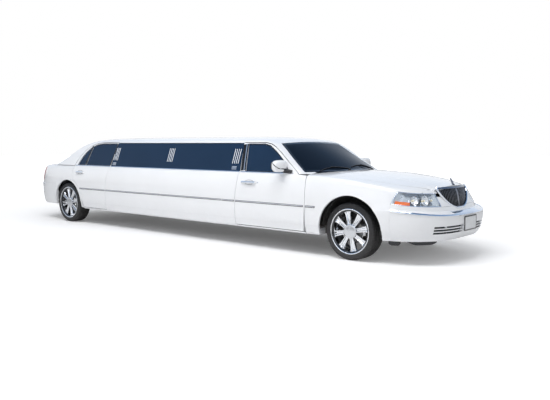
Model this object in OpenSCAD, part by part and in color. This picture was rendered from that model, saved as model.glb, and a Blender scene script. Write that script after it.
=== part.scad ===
// Stretch limousine, built as separate body panels, doors, glass, cabin, chassis and wheels.
// X points to the front, Y to the car's left, Z up. The origin is on the ground, under the middle.
// Millimetres. Pieces of the right side are drawn, and the left side mirrors them.

/* [Overall size] */
// Length over the bumpers
overall_length = 8520; // [8220:20:8820]
// Width over the body sides, mirrors left out
body_width = 1970; // [1900:10:2040]
// Height of the roof above the ground
overall_height = 1500; // [1460:5:1540]

/* [Wheels] */
// Outer radius of a tyre
tyre_radius = 350; // [336:1:354]
// Width of a tyre
tyre_width = 235; // [205:5:245]
// Outer radius of a wheel's lip
rim_radius = 276; // [262:1:282]
// Distance between the middles of the front tyres
front_track = 1594; // [1560:2:1610]
// Distance between the middles of the rear tyres
rear_track = 1654; // [1600:2:1670]

/* [Body panels] */
// Gap around a door or lid
panel_gap = 7; // [5:0.5:8]
// Thickness of fenders, hood, lid, roof and quarter panels
panel_thickness = 24; // [16:1:30]
// Thickness of a door over both skins
door_thickness = 100; // [80:1:110]
// Thickness of a door's outer skin frame
door_skin = 30; // [20:1:36]
// Thickness of the walls between the doors
wall_thickness = 70; // [50:1:90]
// Thickness of the window glass
glass_thickness = 5; // [4:0.5:8]

/* [Cabin] */
// Top of the cabin floor above the ground
floor_height = 345; // [335:1:360]
// Place of the partition behind the front seats, from the front axle
partition_setback = 2330; // [2250:10:2400]

/* [Hidden] */
half_width = body_width / 2;
// sizes that the station tables below are drawn at
base_length = 8520;
base_half_width = 985;
base_height = 1500;
belt_z = 1008;
crease_z = 620;
sill_z = 285;
shoulder_row = 1018;
front_axle_base = 3146;
rear_axle_base = -2891;
length_shift = (overall_length - base_length) / 2;
front_axle_x = front_axle_base + length_shift;
rear_axle_x = rear_axle_base - length_shift;
front_corner_x = 3000 + length_shift;
rear_corner_x = -3000 - length_shift;
corner_power = 3.1;
running_clearance = 0.1;
seat_clearance = 0.3;
round_steps = 64;

// columns: height, distance in from the body's widest line
side_rows = [
    [285, 46], [300, 32], [385, 15], [400, 10], [520, 3], [620, 0],
    [760, 4], [880, 17], [950, 32], [990, 50], [1008, 62]
];
// columns: height, distance in from the body's widest line, up the windows to the roof
glass_rows = [[1025, 72], [1120, 104], [1220, 140], [1320, 177], [1412, 213]];
// columns: height row, reach of the front corner's outline past its start
front_reach_rows = [
    [285, 1180], [330, 1215], [400, 1240], [500, 1256], [560, 1260], [618, 1256], [632, 1240],
    [648, 1190], [665, 1145], [700, 1135], [735, 1125], [966, 1030], [1008, 1000], [1018, 985]
];
// columns: height row, reach of the rear corner's outline past its start
rear_reach_rows = [
    [285, 1200], [330, 1230], [400, 1248], [560, 1260], [618, 1258], [632, 1250], [650, 1238],
    [700, 1225], [860, 1190], [985, 1150], [1008, 1125], [1018, 1100]
];
// columns: place along the car, height of the shoulder line
shoulder_line = [
    [-4110, 985], [-3800, 1002], [-3400, 1014], [-2400, 1018], [2400, 1018], [2800, 1003],
    [3100, 982], [3400, 946], [3700, 897], [3900, 868], [4000, 860], [4080, 858]
];
// columns: place along the car, height of the lower crease and bumper strip
crease_line = [
    [-4260, 650], [-3200, 640], [-2600, 620], [3300, 620], [3700, 634], [4000, 606], [4260, 575]
];
// columns: place along the car, height of the hood or deck on the centre line
top_line = [
    [-4150, 1008], [-4000, 1036], [-3700, 1046], [-3400, 1050], [-3270, 1054], [2400, 1056],
    [2700, 1047], [3087, 1031], [3636, 982], [3900, 934], [4000, 913], [4080, 893]
];
// columns: place along the car, distance of the hood's or lid's edge from the centre line
lid_edge = [
    [-4016, 535], [-3935, 590], [-3814, 665], [-3646, 725], [-3343, 755], [2400, 800],
    [3000, 796], [3400, 764], [3700, 668], [3850, 545], [3950, 424], [4080, 380]
];
// columns: place along the car, top of the side, top on the centre line, rail height, rail width
roof_stations = [
    [-3420, 975, 1046, 32, 100], [-3340, 1002, 1051, 34, 104], [-3270, 1024, 1060, 36, 108],
    [-3200, 1050, 1112, 38, 110], [-3100, 1092, 1190, 42, 112], [-2980, 1148, 1278, 46, 112],
    [-2840, 1216, 1362, 50, 112], [-2700, 1284, 1424, 52, 112], [-2560, 1336, 1456, 53, 112],
    [-2400, 1376, 1476, 53, 112], [-2200, 1402, 1489, 53, 112], [-1900, 1412, 1496, 53, 112],
    [-1400, 1412, 1500, 53, 112], [1000, 1412, 1500, 53, 112], [1300, 1412, 1497, 53, 112],
    [1550, 1411, 1487, 52, 112], [1700, 1404, 1474, 46, 112], [1800, 1388, 1460, 38, 112],
    [1880, 1362, 1442, 32, 112], [1980, 1300, 1394, 30, 112], [2100, 1214, 1330, 30, 110],
    [2230, 1125, 1258, 30, 102], [2360, 1042, 1186, 31, 92], [2480, 968, 1120, 32, 80],
    [2600, 890, 1054, 32, 72], [2700, 830, 1000, 32, 70]
];

function fx(x) = x + length_shift;
function rx(x) = x - length_shift;
// a place along the car: the ends keep their shape and the middle stretches
function place(x) = x > 1200 ? fx(x) : x < -1500 ? rx(x)
    : rx(-1500) + (x + 1500) * (fx(1200) - rx(-1500)) / 2700;
function base_place(x) = x > fx(1200) ? x - length_shift : x < rx(-1500) ? x + length_shift
    : -1500 + (x - rx(-1500)) * 2700 / (fx(1200) - rx(-1500));
function wide(y) = y * half_width / base_half_width;
// a height on the windows or roof, which grow with the overall height
function tall(z) = z <= belt_z ? z
    : belt_z + (z - belt_z) * (overall_height - belt_z) / (base_height - belt_z);
function tall_rows(rows) = [for (r = rows) [tall(r[0]), r[1]]];
full_side = concat(side_rows, tall_rows(glass_rows));
function side_y(z) = half_width - lookup(z, full_side);

// half-breadth of a rounded corner outline at a distance past the corner's start
function corner_y(run, reach, half) = run <= 0 ? half : run >= reach ? 0
    : half * pow(1 - pow(run / reach, corner_power), 1 / corner_power);
function row_half(row) = half_width - (row <= belt_z ? lookup(row, side_rows)
    : 62 + (row - belt_z) * 4.8);
function body_y(x, row) = x > 0
    ? corner_y(x - front_corner_x, lookup(row, front_reach_rows), row_half(row))
    : corner_y(rear_corner_x - x, lookup(row, rear_reach_rows), row_half(row));
// true height of a height row: the crease and the shoulder rise and fall along the car
function body_z(x, row) = let (b = base_place(x), c = lookup(b, crease_line),
        s = lookup(b, shoulder_line))
    row <= crease_z ? row + (c - crease_z) * max(0, (row - sill_z) / (crease_z - sill_z))
    : c + (row - crease_z) * (s - c) / (shoulder_row - crease_z);
function shoulder_y(x) = max(body_y(x, shoulder_row), wide(400));
function top_z(x, y) = let (b = base_place(x), c = lookup(b, top_line),
        s = lookup(b, shoulder_line))
    c - (c - s) * pow(min(1.1, abs(y) / shoulder_y(x)), 2.2);
function lid_y(x) = wide(lookup(base_place(x), lid_edge));

// a closed solid between two grids of points that have the same rows and columns
module grid_solid(outer, inner) {
    n = len(outer);
    m = len(outer[0]);
    half = n * m;
    points = concat([for (r = outer) for (p = r) p], [for (r = inner) for (p = r) p]);
    faces = concat(
        [for (i = [0:n - 2]) for (j = [0:m - 2]) for (t = [0, 1]) t == 0
            ? [i * m + j, (i + 1) * m + j, (i + 1) * m + j + 1]
            : [i * m + j, (i + 1) * m + j + 1, i * m + j + 1]],
        [for (i = [0:n - 2]) for (j = [0:m - 2]) for (t = [0, 1]) t == 0
            ? [half + i * m + j, half + (i + 1) * m + j + 1, half + (i + 1) * m + j]
            : [half + i * m + j, half + i * m + j + 1, half + (i + 1) * m + j + 1]],
        [for (i = [0:n - 2]) for (t = [0, 1]) t == 0
            ? [i * m, half + i * m, half + (i + 1) * m]
            : [i * m, half + (i + 1) * m, (i + 1) * m]],
        [for (i = [0:n - 2]) for (t = [0, 1]) t == 0
            ? [i * m + m - 1, half + (i + 1) * m + m - 1, half + i * m + m - 1]
            : [i * m + m - 1, (i + 1) * m + m - 1, half + (i + 1) * m + m - 1]],
        [for (j = [0:m - 2]) for (t = [0, 1]) t == 0
            ? [j, half + j + 1, half + j] : [j, j + 1, half + j + 1]],
        [for (j = [0:m - 2]) for (t = [0, 1]) let (a = (n - 1) * m + j) t == 0
            ? [a, half + a, half + a + 1] : [a, half + a + 1, a + 1]]
    );
    polyhedron(points = points, faces = faces, convexity = 6);
}

module both_sides() {
    children();
    mirror([0, 1, 0]) children();
}

// a box from one corner to the opposite one
module block(low, high) {
    translate(low) cube(high - low);
}

// a shape drawn in the side view, run across the right side
module side_prism(points, from = 300, to = 1200, grow = 0) {
    translate([0, -from, 0]) rotate([90, 0, 0]) linear_extrude(to - from)
        offset(delta = grow) polygon(points);
}

// a shape drawn in the top view, run upwards
module top_prism(points, from, to) {
    translate([0, 0, from]) linear_extrude(to - from) polygon(points);
}

// a slab of the right side between two depths under its skin
module side_slab(x0, x1, z0, z1, depth0, depth1) {
    zs = concat([z0], [for (r = full_side) if (r[0] > z0 && r[0] < z1) r[0]], [z1]);
    outer = [for (z = zs) [-side_y(z) + depth0, z]];
    inner = [for (i = [len(zs) - 1:-1:0]) [-side_y(zs[i]) + depth1, zs[i]]];
    translate([x0, 0, 0]) rotate([90, 0, 90]) linear_extrude(x1 - x0) polygon(concat(outer, inner));
}

function arc_points(cx, cz, r, a0, a1, steps) =
    [for (i = [0:steps]) let (a = a0 + (a1 - a0) * i / steps) [cx + r * sin(a), cz + r * cos(a)]];

/* wheel arches: middle and radius */
front_arch_x = front_axle_x + 22;
front_arch_r = tyre_radius + 88;
rear_arch_x = rear_axle_x + 24;
rear_arch_r = tyre_radius + 56;
arch_z = tyre_radius;

/* door outlines and window openings in the side view */
front_door_gap_x = fx(2516);
rear_door_gap_x = rx(-1716);
door_bottom_z = 300;
door_top = tall(1411);
window_top = tall(1391);
window_bottom = tall(1036);
front_door_outline = [
    [fx(1306), door_bottom_z], [fx(1309), 640], [fx(1335), 860], [fx(1350), 1000],
    [fx(1352), tall(1030)], [fx(1303), door_top], [fx(1700), door_top], [fx(1800), tall(1392)],
    [fx(1885), tall(1356)], [fx(1990), tall(1290)], [fx(2110), tall(1204)],
    [fx(2240), tall(1112)], [fx(2340), tall(1040)], [fx(2370), tall(1012)], [fx(2510), 1000],
    [fx(2514), 900], [front_door_gap_x, 640], [fx(2500), 420], [fx(2484), door_bottom_z]
];
front_window_outline = [
    [fx(1452), window_bottom], [fx(1392), window_top], [fx(1690), window_top],
    [fx(1790), tall(1368)], [fx(1930), tall(1288)], [fx(2060), tall(1192)],
    [fx(2160), tall(1105)], [fx(2215), window_bottom]
];
rear_door_outline = concat(
    [[rx(-1728), door_bottom_z], [rear_door_gap_x, 640], [rx(-1690), 860], [rx(-1640), 1000],
     [rx(-1637), tall(1030)], [rx(-1588), door_top], [rx(-2010), door_top],
     [rx(-2190), tall(1394)], [rx(-2350), tall(1350)], [rx(-2490), tall(1272)],
     [rx(-2600), tall(1166)], [rx(-2672), tall(1060)], [rx(-2712), 920], [rx(-2714), 850],
     [rx(-2698), 800]],
    arc_points(rear_arch_x, arch_z, rear_arch_r + 56, 26, 78, 6),
    [[rx(-2404), 390], [rx(-2402), door_bottom_z]]
);
rear_window_outline = [
    [rx(-1665), window_bottom], [rx(-1612), window_top], [rx(-2000), window_top],
    [rx(-2175), tall(1374)], [rx(-2320), tall(1326)], [rx(-2440), tall(1248)],
    [rx(-2532), tall(1148)], [rx(-2596), window_bottom]
];
quarter_bar_outline = [
    [rx(-2362), window_bottom - 2], [rx(-2392), window_bottom - 2],
    [rx(-2303), window_top], [rx(-2273), window_top]
];
mid_wall_rear_x = rx(-1580);
mid_wall_front_x = fx(1295);

module doors_cut(grow) {
    side_prism(front_door_outline, grow = grow);
    side_prism(rear_door_outline, grow = grow);
}

module arch_cut(x, r, from) {
    translate([x, -from, arch_z]) rotate([90, 0, 0]) cylinder(r = r, h = 900, $fn = 96);
}

/* chassis */
rail_y = 450;
rail_width = 70;
rail_low_z = 225;
rail_high_z = 325;
frame_front_x = fx(2480);
frame_rear_x = rx(-2450);
rail_front_outline = [
    [fx(4080), 400], [fx(4080), 500], [fx(2720), 500], [frame_front_x, rail_high_z],
    [frame_front_x, rail_low_z], [fx(2560), rail_low_z], [fx(2760), 400]
];
rail_rear_outline = [
    [rx(-4080), 460], [rx(-4080), 540], [rx(-2660), 540], [frame_rear_x, rail_high_z],
    [frame_rear_x, rail_low_z], [rx(-2530), rail_low_z], [rx(-2740), 460]
];
// columns: place along the car, lower and upper face of a crossmember
cross_rows = [
    [rx(-4020), 470, 530], [rx(-3300), 470, 530], [rx(-2280), 225, 255], [place(-1500), 225, 255],
    [place(-600), 225, 255], [place(300), 225, 255], [place(1200), 225, 255], [fx(2440), 225, 255],
    [fx(3560), 420, 480], [fx(4040), 420, 480]
];
cross_top_z = 255;

module crossmember(r) {
    block([r[0] - 35, -rail_y, r[1]], [r[0] + 35, rail_y, r[2]]);
}

module rail_end(outline) {
    both_sides() side_prism(outline, from = rail_y - rail_width / 2, to = rail_y + rail_width / 2);
}

// the straight middle of the frame
module chassis_frame() {
    color("#2a2b2d") {
        both_sides() translate([0, -rail_y, 0])
            block([frame_rear_x, -rail_width / 2, rail_low_z], [frame_front_x, rail_width / 2, rail_high_z]);
        for (r = cross_rows) if (r[0] > frame_rear_x && r[0] < frame_front_x) crossmember(r);
    }
}

// the rails' ends rise over the axles
module front_frame_rails() {
    color("#2a2b2d") {
        rail_end(rail_front_outline);
        for (r = cross_rows) if (r[0] > frame_front_x) crossmember(r);
    }
}

module rear_frame_rails() {
    color("#2a2b2d") {
        rail_end(rail_rear_outline);
        for (r = cross_rows) if (r[0] < frame_rear_x) crossmember(r);
    }
}

floor_thickness = 20;
floor_half = half_width - 205;
floor_front_x = fx(2400);
floor_rear_x = rx(-2420);
trunk_floor_z = 560;
trunk_front_x = rx(-2780);
trunk_rear_x = rx(-4040);
trunk_half = 485;
trunk_wide_half = wide(740);
shelf_z = 1012;
shelf_half = wide(640);

module floor_pan() {
    color("#3a3b3d") difference() {
        union() {
            block([floor_rear_x, -floor_half, floor_height - floor_thickness],
                  [floor_front_x, floor_half, floor_height]);
            // riser behind the rear seat, trunk floor, bulkhead and parcel shelf
            block([floor_rear_x - 20, -floor_half, floor_height - floor_thickness],
                  [floor_rear_x, floor_half, trunk_floor_z]);
            block([trunk_rear_x, -trunk_half, trunk_floor_z - floor_thickness],
                  [floor_rear_x, trunk_half, trunk_floor_z]);
            block([trunk_rear_x + 110, -trunk_wide_half, trunk_floor_z - floor_thickness],
                  [rear_arch_x - rear_arch_r - 30, trunk_wide_half, trunk_floor_z]);
            block([trunk_front_x - 20, -trunk_half, trunk_floor_z],
                  [trunk_front_x, trunk_half, shelf_z]);
            block([rx(-3190), -shelf_half, shelf_z], [trunk_front_x + 180, shelf_half, shelf_z + 18]);
        }
        block([floor_rear_x - 30, -60, 300], [floor_rear_x + 30, 60, 420]);
    }
}

/* side panels: sill, wall between the doors and door pillars */
sill_inner_y = floor_half;
sill_top_z = 292;
hinge_radius = 100;
hinge_low_z = 420;
hinge_high_z = 780;
hinge_y = half_width;

// a post whose rounded rear face is centred on the door's hinge axis
module hinge_post(gap_x) {
    intersection() {
        translate([gap_x, -hinge_y, hinge_low_z])
            cylinder(r = hinge_radius - seat_clearance, h = hinge_high_z - hinge_low_z, $fn = round_steps);
        block([gap_x - hinge_radius, -hinge_y + 62, hinge_low_z],
              [gap_x + 20, -hinge_y + hinge_radius + 10, hinge_high_z]);
    }
    block([gap_x, -hinge_y + 72, sill_top_z], [gap_x + 60, -sill_inner_y, hinge_high_z]);
}

module right_side_panel() {
    z_mid = tall(1025);
    difference() {
        union() {
            side_slab(rx(-1730), fx(1350), sill_z, z_mid, 0, wall_thickness);
            side_slab(rx(-1640), fx(1352), z_mid, door_top, glass_thickness, wall_thickness - 15);
        }
        side_prism(front_door_outline, grow = panel_gap);
        side_prism(rear_door_outline, grow = panel_gap);
        for (w = [[-1455, -265], [-75, 1110]])
            side_prism([[place(w[0]), window_bottom + 18], [place(w[1]), window_bottom + 18],
                        [place(w[1]), window_top], [place(w[0]), window_top]]);
    }
    // sill under the doors, with an upstand inside them
    translate([rx(-2400), 0, 0]) rotate([90, 0, 90]) linear_extrude(fx(2510) - rx(-2400))
        polygon([[-half_width + 52, 270], [-half_width + 40, 278], [-half_width + 40, sill_top_z],
                 [-half_width + 112, sill_top_z], [-half_width + 112, floor_height],
                 [-sill_inner_y, floor_height], [-sill_inner_y, 270]]);
    block([fx(2500), -half_width + side_rows[0][1] + panel_thickness + seat_clearance, 270],
          [fx(2700), -sill_inner_y, floor_height]);
    hinge_post(front_door_gap_x);
    hinge_post(rear_door_gap_x);
}

module side_panels() {
    color("#f4f5f7") both_sides() right_side_panel();
}

module side_windows() {
    color("#20324a", 0.8) both_sides() difference() {
        side_slab(rx(-1640), fx(1352), tall(1025), door_top, 0, glass_thickness);
        doors_cut(panel_gap);
    }
}

/* roof with its pillars, windshield and rear window */
windshield_top = [fx(1912), fx(1866), wide(655)];
windshield_base = [fx(2625), fx(2412), wide(838)];
rear_glass_top = [rx(-2745), rx(-2800), wide(560)];
rear_glass_base = [rx(-3245), rx(-3150), wide(660)];

function roof_side(x) = lookup(base_place(x), [for (r = roof_stations) [r[0], r[1]]]);
function roof_mid(x) = lookup(base_place(x), [for (r = roof_stations) [r[0], r[2]]]);
function roof_rail_z(x) = lookup(base_place(x), [for (r = roof_stations) [r[0], r[3]]]);
function roof_rail_y(x) = lookup(base_place(x), [for (r = roof_stations) [r[0], r[4]]]);
// columns: share of the rail's height, share of the rail's width
rail_steps = [[0, 0], [0.34, 0.10], [0.64, 0.30], [0.84, 0.60], [1, 1]];
crown_steps = [0.86, 0.7, 0.5, 0.25, 0];

// the right half of the roof's outline at one place, sunk by a depth, from the belt to the middle
function roof_half(x, depth) = let (
        top = tall(roof_side(x)), y0 = side_y(max(top, belt_z)) - (top < belt_z ? 10 : 0),
        rz = roof_rail_z(x), ry = roof_rail_y(x), mid = tall(roof_mid(x)),
        edge_y = y0 - ry, edge_z = top + rz, low = min(tall(1000), top - 30))
    concat(
        [for (s = [0, 0.5]) let (z = low + (top - low) * s) [x, -side_y(z) + depth, z]],
        [for (s = rail_steps) [x, -(y0 - ry * s[1]) + depth * (1 - s[1] * 0.5),
                               top + rz * s[0] - depth * s[1]]],
        [for (s = crown_steps) [x, -edge_y * s + (s > 0 ? depth * 0.5 * s : 0),
                                mid - (mid - edge_z) * s * s - depth]]);
function roof_full(x, depth) = let (h = roof_half(x, depth), n = len(h))
    concat(h, [for (i = [n - 2:-1:0]) [x, -h[i][1], h[i][2]]]);

module roof_shell(x0, x1, depth0, depth1) {
    xs = concat([x0], [for (r = roof_stations) let (x = place(r[0])) if (x > x0 + 5 && x < x1 - 5) x],
                [x1]);
    grid_solid([for (x = xs) roof_full(x, depth1)], [for (x = xs) roof_full(x, depth0)]);
}

function bow(mid_x, end_x, half, steps) =
    [for (i = [-steps:steps]) let (f = i / steps) [mid_x + (end_x - mid_x) * f * f, half * f]];
function reversed(list) = [for (i = [len(list) - 1:-1:0]) list[i]];

module windshield_prism(grow = 0) {
    translate([0, 0, 800]) linear_extrude(900) offset(delta = grow) polygon(concat(
        bow(windshield_base[0], windshield_base[1], windshield_base[2], 6),
        reversed(bow(windshield_top[0], windshield_top[1], windshield_top[2], 6))));
}

module rear_glass_prism(grow = 0) {
    translate([0, 0, 800]) linear_extrude(900) offset(delta = grow) polygon(concat(
        bow(rear_glass_base[0], rear_glass_base[1], rear_glass_base[2], 4),
        reversed(bow(rear_glass_top[0], rear_glass_top[1], rear_glass_top[2], 4))));
}

trunk_front_edge = rx(-3343);
deck_rear_x = rx(-3335);
pillar_foot_z = 1004;
pillar_foot_x = fx(2496);

module roof() {
    color("#f4f5f7") difference() {
        roof_shell(deck_rear_x, pillar_foot_x, 0, panel_thickness);
        windshield_prism();
        rear_glass_prism();
        both_sides() {
            doors_cut(panel_gap + 2.5);
            side_prism([[rx(-1645), 900], [fx(1356), 900], [fx(1356), door_top],
                        [rx(-1645), door_top]]);
            // under the shoulder of the fender, and under the deck's shoulder
            block([fx(2300), -1200, 700], [fx(2800), -300, pillar_foot_z]);
            block([rx(-3500), -1200, 700], [rx(-2500), -wide(300), shoulder_row + 1]);
            block([rx(-3360), -trunk_hinge_y - 20, 900],
                  [trunk_hinge_x + 25, -trunk_hinge_y + 20, trunk_hinge_z + 14]);
        }
        // open in front of the windshield's base
        block([windshield_base[1] + 60, -wide(700), 700], [fx(2800), wide(700), 1300]);
    }
}

module windshield() {
    color("#101a28", 0.85) intersection() {
        roof_shell(fx(1780), fx(2690), 0, glass_thickness + 1);
        windshield_prism();
    }
}

module rear_window() {
    color("#101a28", 0.85) intersection() {
        roof_shell(rx(-3300), rx(-2680), 0, glass_thickness + 1);
        rear_glass_prism();
    }
}

/* fenders, quarter panels, hood and trunk lid */
fender_xs = [2522, 2700, 2850, 3000, 3150, 3280, 3400, 3520, 3620, 3700, 3780, 3850, 3900, 3932];
quarter_xs = [-2330, -2600, -2800, -3000, -3200, -3335, -3460, -3560, -3646, -3730, -3814, -3880, -3935,
    -3970];
panel_rows = [285, 300, 385, 400, 520, 600, 622, 640, 665, 760, 850, 920, 966, 995, 1010, 1018];
inward_rows = [0.4, 0.75, 1];

// one station of a fender or quarter panel, from the sill over the shoulder to the lid's edge
function flank(x, depth) = let (ys = shoulder_y(x),
        ye = min(lid_y(x - 6 * sign(x)) + panel_gap, ys - 2))
    concat(
        [for (r = panel_rows) let (over = max(0, (r - 966) / 52))
            [x, -body_y(x, r) + depth * (1 - over * 0.4), body_z(x, r) - depth * over]],
        [for (s = inward_rows) let (y = ys + (ye - ys) * s)
            [x, -y + depth * 0.6 * (1 - s), top_z(x, y) - depth]]);

lamp_row_low = 735;
lamp_row_high = 962;
lamp_rear_x = fx(3700);
lamp_slant = 0.19;
lamp_inner_y = wide(425);
bumper_rear_x = fx(3702);
bumper_top_row = lamp_row_low - 0.6;
function lamp_side_x(row) = lamp_rear_x + (row - lamp_row_low) * lamp_slant;
// all that is under the lamp's top edge, in front of the lamp's and the bumper's rear edges
front_end_cut = concat(
    [[bumper_rear_x, 100], [bumper_rear_x, body_z(bumper_rear_x, lamp_row_low - 2)],
     [lamp_rear_x - 4, body_z(bumper_rear_x, lamp_row_low - 2)],
     [lamp_side_x(lamp_row_high) - 4, body_z(lamp_side_x(lamp_row_high), lamp_row_high + 2)]],
    [for (x = [3790, 3830, 3870, 3910, 3950, 4100]) [fx(x), body_z(fx(x), lamp_row_high + 2)]],
    [[fx(4100), 100]]
);

module right_fender() {
    difference() {
        grid_solid([for (x = fender_xs) flank(fx(x), panel_thickness)],
                   [for (x = fender_xs) flank(fx(x), 0)]);
        arch_cut(front_arch_x, front_arch_r, 300);
        side_prism(front_end_cut);
        side_prism(front_door_outline, grow = panel_gap);
    }
}

module fenders() {
    color("#f4f5f7") both_sides() right_fender();
}

tail_lamp_x = rx(-3862);
tail_row_low = 661;
tail_row_high = 982;
rear_bumper_top = 660;
rear_bumper_front_x = rx(-3234);
quarter_cut = concat(
    [[rear_bumper_front_x, 100], [rear_bumper_front_x, body_z(rear_bumper_front_x, rear_bumper_top + 1)],
     [tail_lamp_x, body_z(tail_lamp_x, rear_bumper_top + 1)],
     [tail_lamp_x, body_z(tail_lamp_x, tail_row_high + 2)]],
    [for (x = [-3900, -3940, -4100]) [rx(x), body_z(rx(x), tail_row_high + 2)]],
    [[rx(-4100), 100]]
);

module right_quarter_panel() {
    difference() {
        grid_solid([for (x = reversed(quarter_xs)) flank(rx(x), panel_thickness)],
                   [for (x = reversed(quarter_xs)) flank(rx(x), 0)]);
        arch_cut(rear_arch_x, rear_arch_r, 300);
        side_prism(rear_door_outline, grow = panel_gap);
        side_prism(quarter_cut);
        block([rx(-3336), -1200, shoulder_row + 1], [rx(-2200), -300, 1200]);
        block([rx(-3330), -wide(745), 900], [rx(-2200), 0, 1200]);
        side_prism([[rx(-2430), 200], [rx(-2430), 420], [rx(-2200), 420], [rx(-2200), 200]]);
    }
}

module quarter_panels() {
    color("#f4f5f7") both_sides() right_quarter_panel();
}

hood_xs = [2480, 2560, 2640, 2720, 2850, 3000, 3150, 3300, 3450, 3600, 3700, 3780, 3850, 3900, 3950, 4000, 4060];
hood_shares = [-1, -0.93, -0.82, -0.68, -0.5, -0.3, -0.1, 0.1, 0.3, 0.5, 0.68, 0.82, 0.93, 1];
hood_rear_mid = fx(2668);
hood_rear_side = fx(2545);
hood_hinge_x = hood_rear_side - 33;
hood_hinge_y = wide(700);
hood_hinge_z = top_z(fx(2512), hood_hinge_y) - 26;
hood_front_mid = fx(4052);
hood_front_side = fx(3984);
hinge_pin_r = 5;
hinge_barrel_r = 9;
hinge_barrel_length = 24;

function hood_grid(depth) = [for (x = hood_xs) let (X = fx(x))
    [for (s = hood_shares) let (y = s * lid_y(X)) [X, y, top_z(X, y) - depth]]];

module hood_prism() {
    top_prism(concat(bow(hood_front_mid, hood_front_side, wide(400), 4),
                     [[hood_front_side - 60, wide(700)], [hood_front_side - 500, wide(900)],
                      [hood_rear_side, wide(900)]],
                     reversed(bow(hood_rear_mid, hood_rear_side, wide(800), 4)),
                     [[hood_rear_side, -wide(900)], [hood_front_side - 500, -wide(900)],
                      [hood_front_side - 60, -wide(700)]]), 600, 1300);
}

// a barrel on the hinge axis, with the arm that joins it to the lid; the arm's outline is the child
module lid_hinge(x, y, z) {
    half = hinge_barrel_length / 2;
    translate([x, y + half, z]) rotate([90, 0, 0]) difference() {
        union() {
            cylinder(r = hinge_barrel_r, h = hinge_barrel_length, $fn = round_steps);
            linear_extrude(hinge_barrel_length) children();
        }
        translate([0, 0, -half])
            cylinder(r = hinge_pin_r + running_clearance, h = 2 * hinge_barrel_length, $fn = round_steps);
    }
}

// the room that the hood's front edge takes, with its gap
module hood_space() {
    intersection() {
        grid_solid([for (x = [3850, 3950, 4010, 4070]) [for (s = [-1.05, -0.7, -0.35, 0, 0.35, 0.7, 1.05])
                        [fx(x), s * lid_y(fx(x)), top_z(fx(x), s * lid_y(fx(x))) - panel_thickness - panel_gap]]],
                   [for (x = [3850, 3950, 4010, 4070]) [for (s = [-1.05, -0.7, -0.35, 0, 0.35, 0.7, 1.05])
                        [fx(x), s * lid_y(fx(x)), 1000]]]);
        top_prism(concat([[fx(3840), -wide(500)]],
                         bow(hood_front_mid + panel_gap + 3, hood_front_side + panel_gap + 3, wide(400), 4),
                         [[fx(3840), wide(500)]]), 600, 1300);
    }
}

module hood() {
    color("#f4f5f7") {
        intersection() {
            grid_solid(hood_grid(panel_thickness), hood_grid(0));
            hood_prism();
        }
        for (s = [-1, 1])
            lid_hinge(hood_hinge_x, s * hood_hinge_y, hood_hinge_z)
                polygon([[0, -hinge_barrel_r], [110, 2 - hinge_barrel_r], [110, 8], [46, 8],
                         [40, hinge_barrel_r - 3], [0, hinge_barrel_r - 3]]);
        // plain upright ornament
        translate([fx(4034), -5, top_z(fx(4034), 0) - 12]) rotate([0, -30, 0]) cube([8, 10, 100]);
    }
}

trunk_hinge_x = rx(-3250);
trunk_hinge_y = wide(600);
trunk_hinge_z = top_z(trunk_hinge_x, trunk_hinge_y) - 20;
lid_steps = [0, 0.15, 0.375, 0.58, 0.735, 0.835, 1];
lid_shares = [-1, -0.86, -0.66, -0.4, -0.13, 0.13, 0.4, 0.66, 0.86, 1];
lid_face_half = wide(535);
// height rows of the lid's rear face
lid_face_rows = [1018, 1006, 975, 900, 800, 720, rear_bumper_top + 8];

// place of the rear outline at a height row and a distance from the centre line
function rear_face_x(row, y, depth) = rear_corner_x - (lookup(row, rear_reach_rows) - depth)
    * pow(1 - pow(abs(y) / row_half(row), corner_power), 1 / corner_power);
function lid_face(row, depth) = [for (s = lid_shares) let (y = s * lid_face_half,
        x = rear_face_x(row, y, depth))
    [x, y, body_z(x, row) - (row > 1000 ? depth * (row - 1000) / 18 : 0)]];
function lid_top(t, depth) = let (
        ye = lid_y(trunk_front_edge + t * (rear_face_x(1018, lid_face_half, 8) - trunk_front_edge)))
    [for (s = lid_shares) let (y = s * ye,
        x = trunk_front_edge + t * (rear_face_x(1018, s * lid_face_half, 8) - trunk_front_edge))
        [x + depth * (t * 1.1 - 0.5), y, top_z(x, y) - depth]];
function lid_grid(depth) = concat([for (t = lid_steps) lid_top(t, depth)],
                                  [for (r = lid_face_rows) lid_face(r, depth)]);

module trunk_lid() {
    color("#f4f5f7") {
        grid_solid(lid_grid(0), lid_grid(panel_thickness));
        for (s = [-1, 1])
            lid_hinge(trunk_hinge_x, s * trunk_hinge_y, trunk_hinge_z)
                polygon([[hinge_barrel_r - 1, -3], [-24, -110], [-112, -110], [-152, 2], [-134, 2],
                         [-101, -96], [-38, -96], [1 - hinge_barrel_r, 0]]);
    }
}

/* bumpers, lamps and grille along the rounded ends */
function angle_at_run(run, reach) = acos(pow(min(1, run / reach), corner_power / 2));
function angle_at_y(y, half) = asin(pow(min(1, y / half), corner_power / 2));
function corner_point(a, reach, half) =
    [reach * pow(max(cos(a), 0), 2 / corner_power), half * pow(max(sin(a), 0), 2 / corner_power)];

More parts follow.
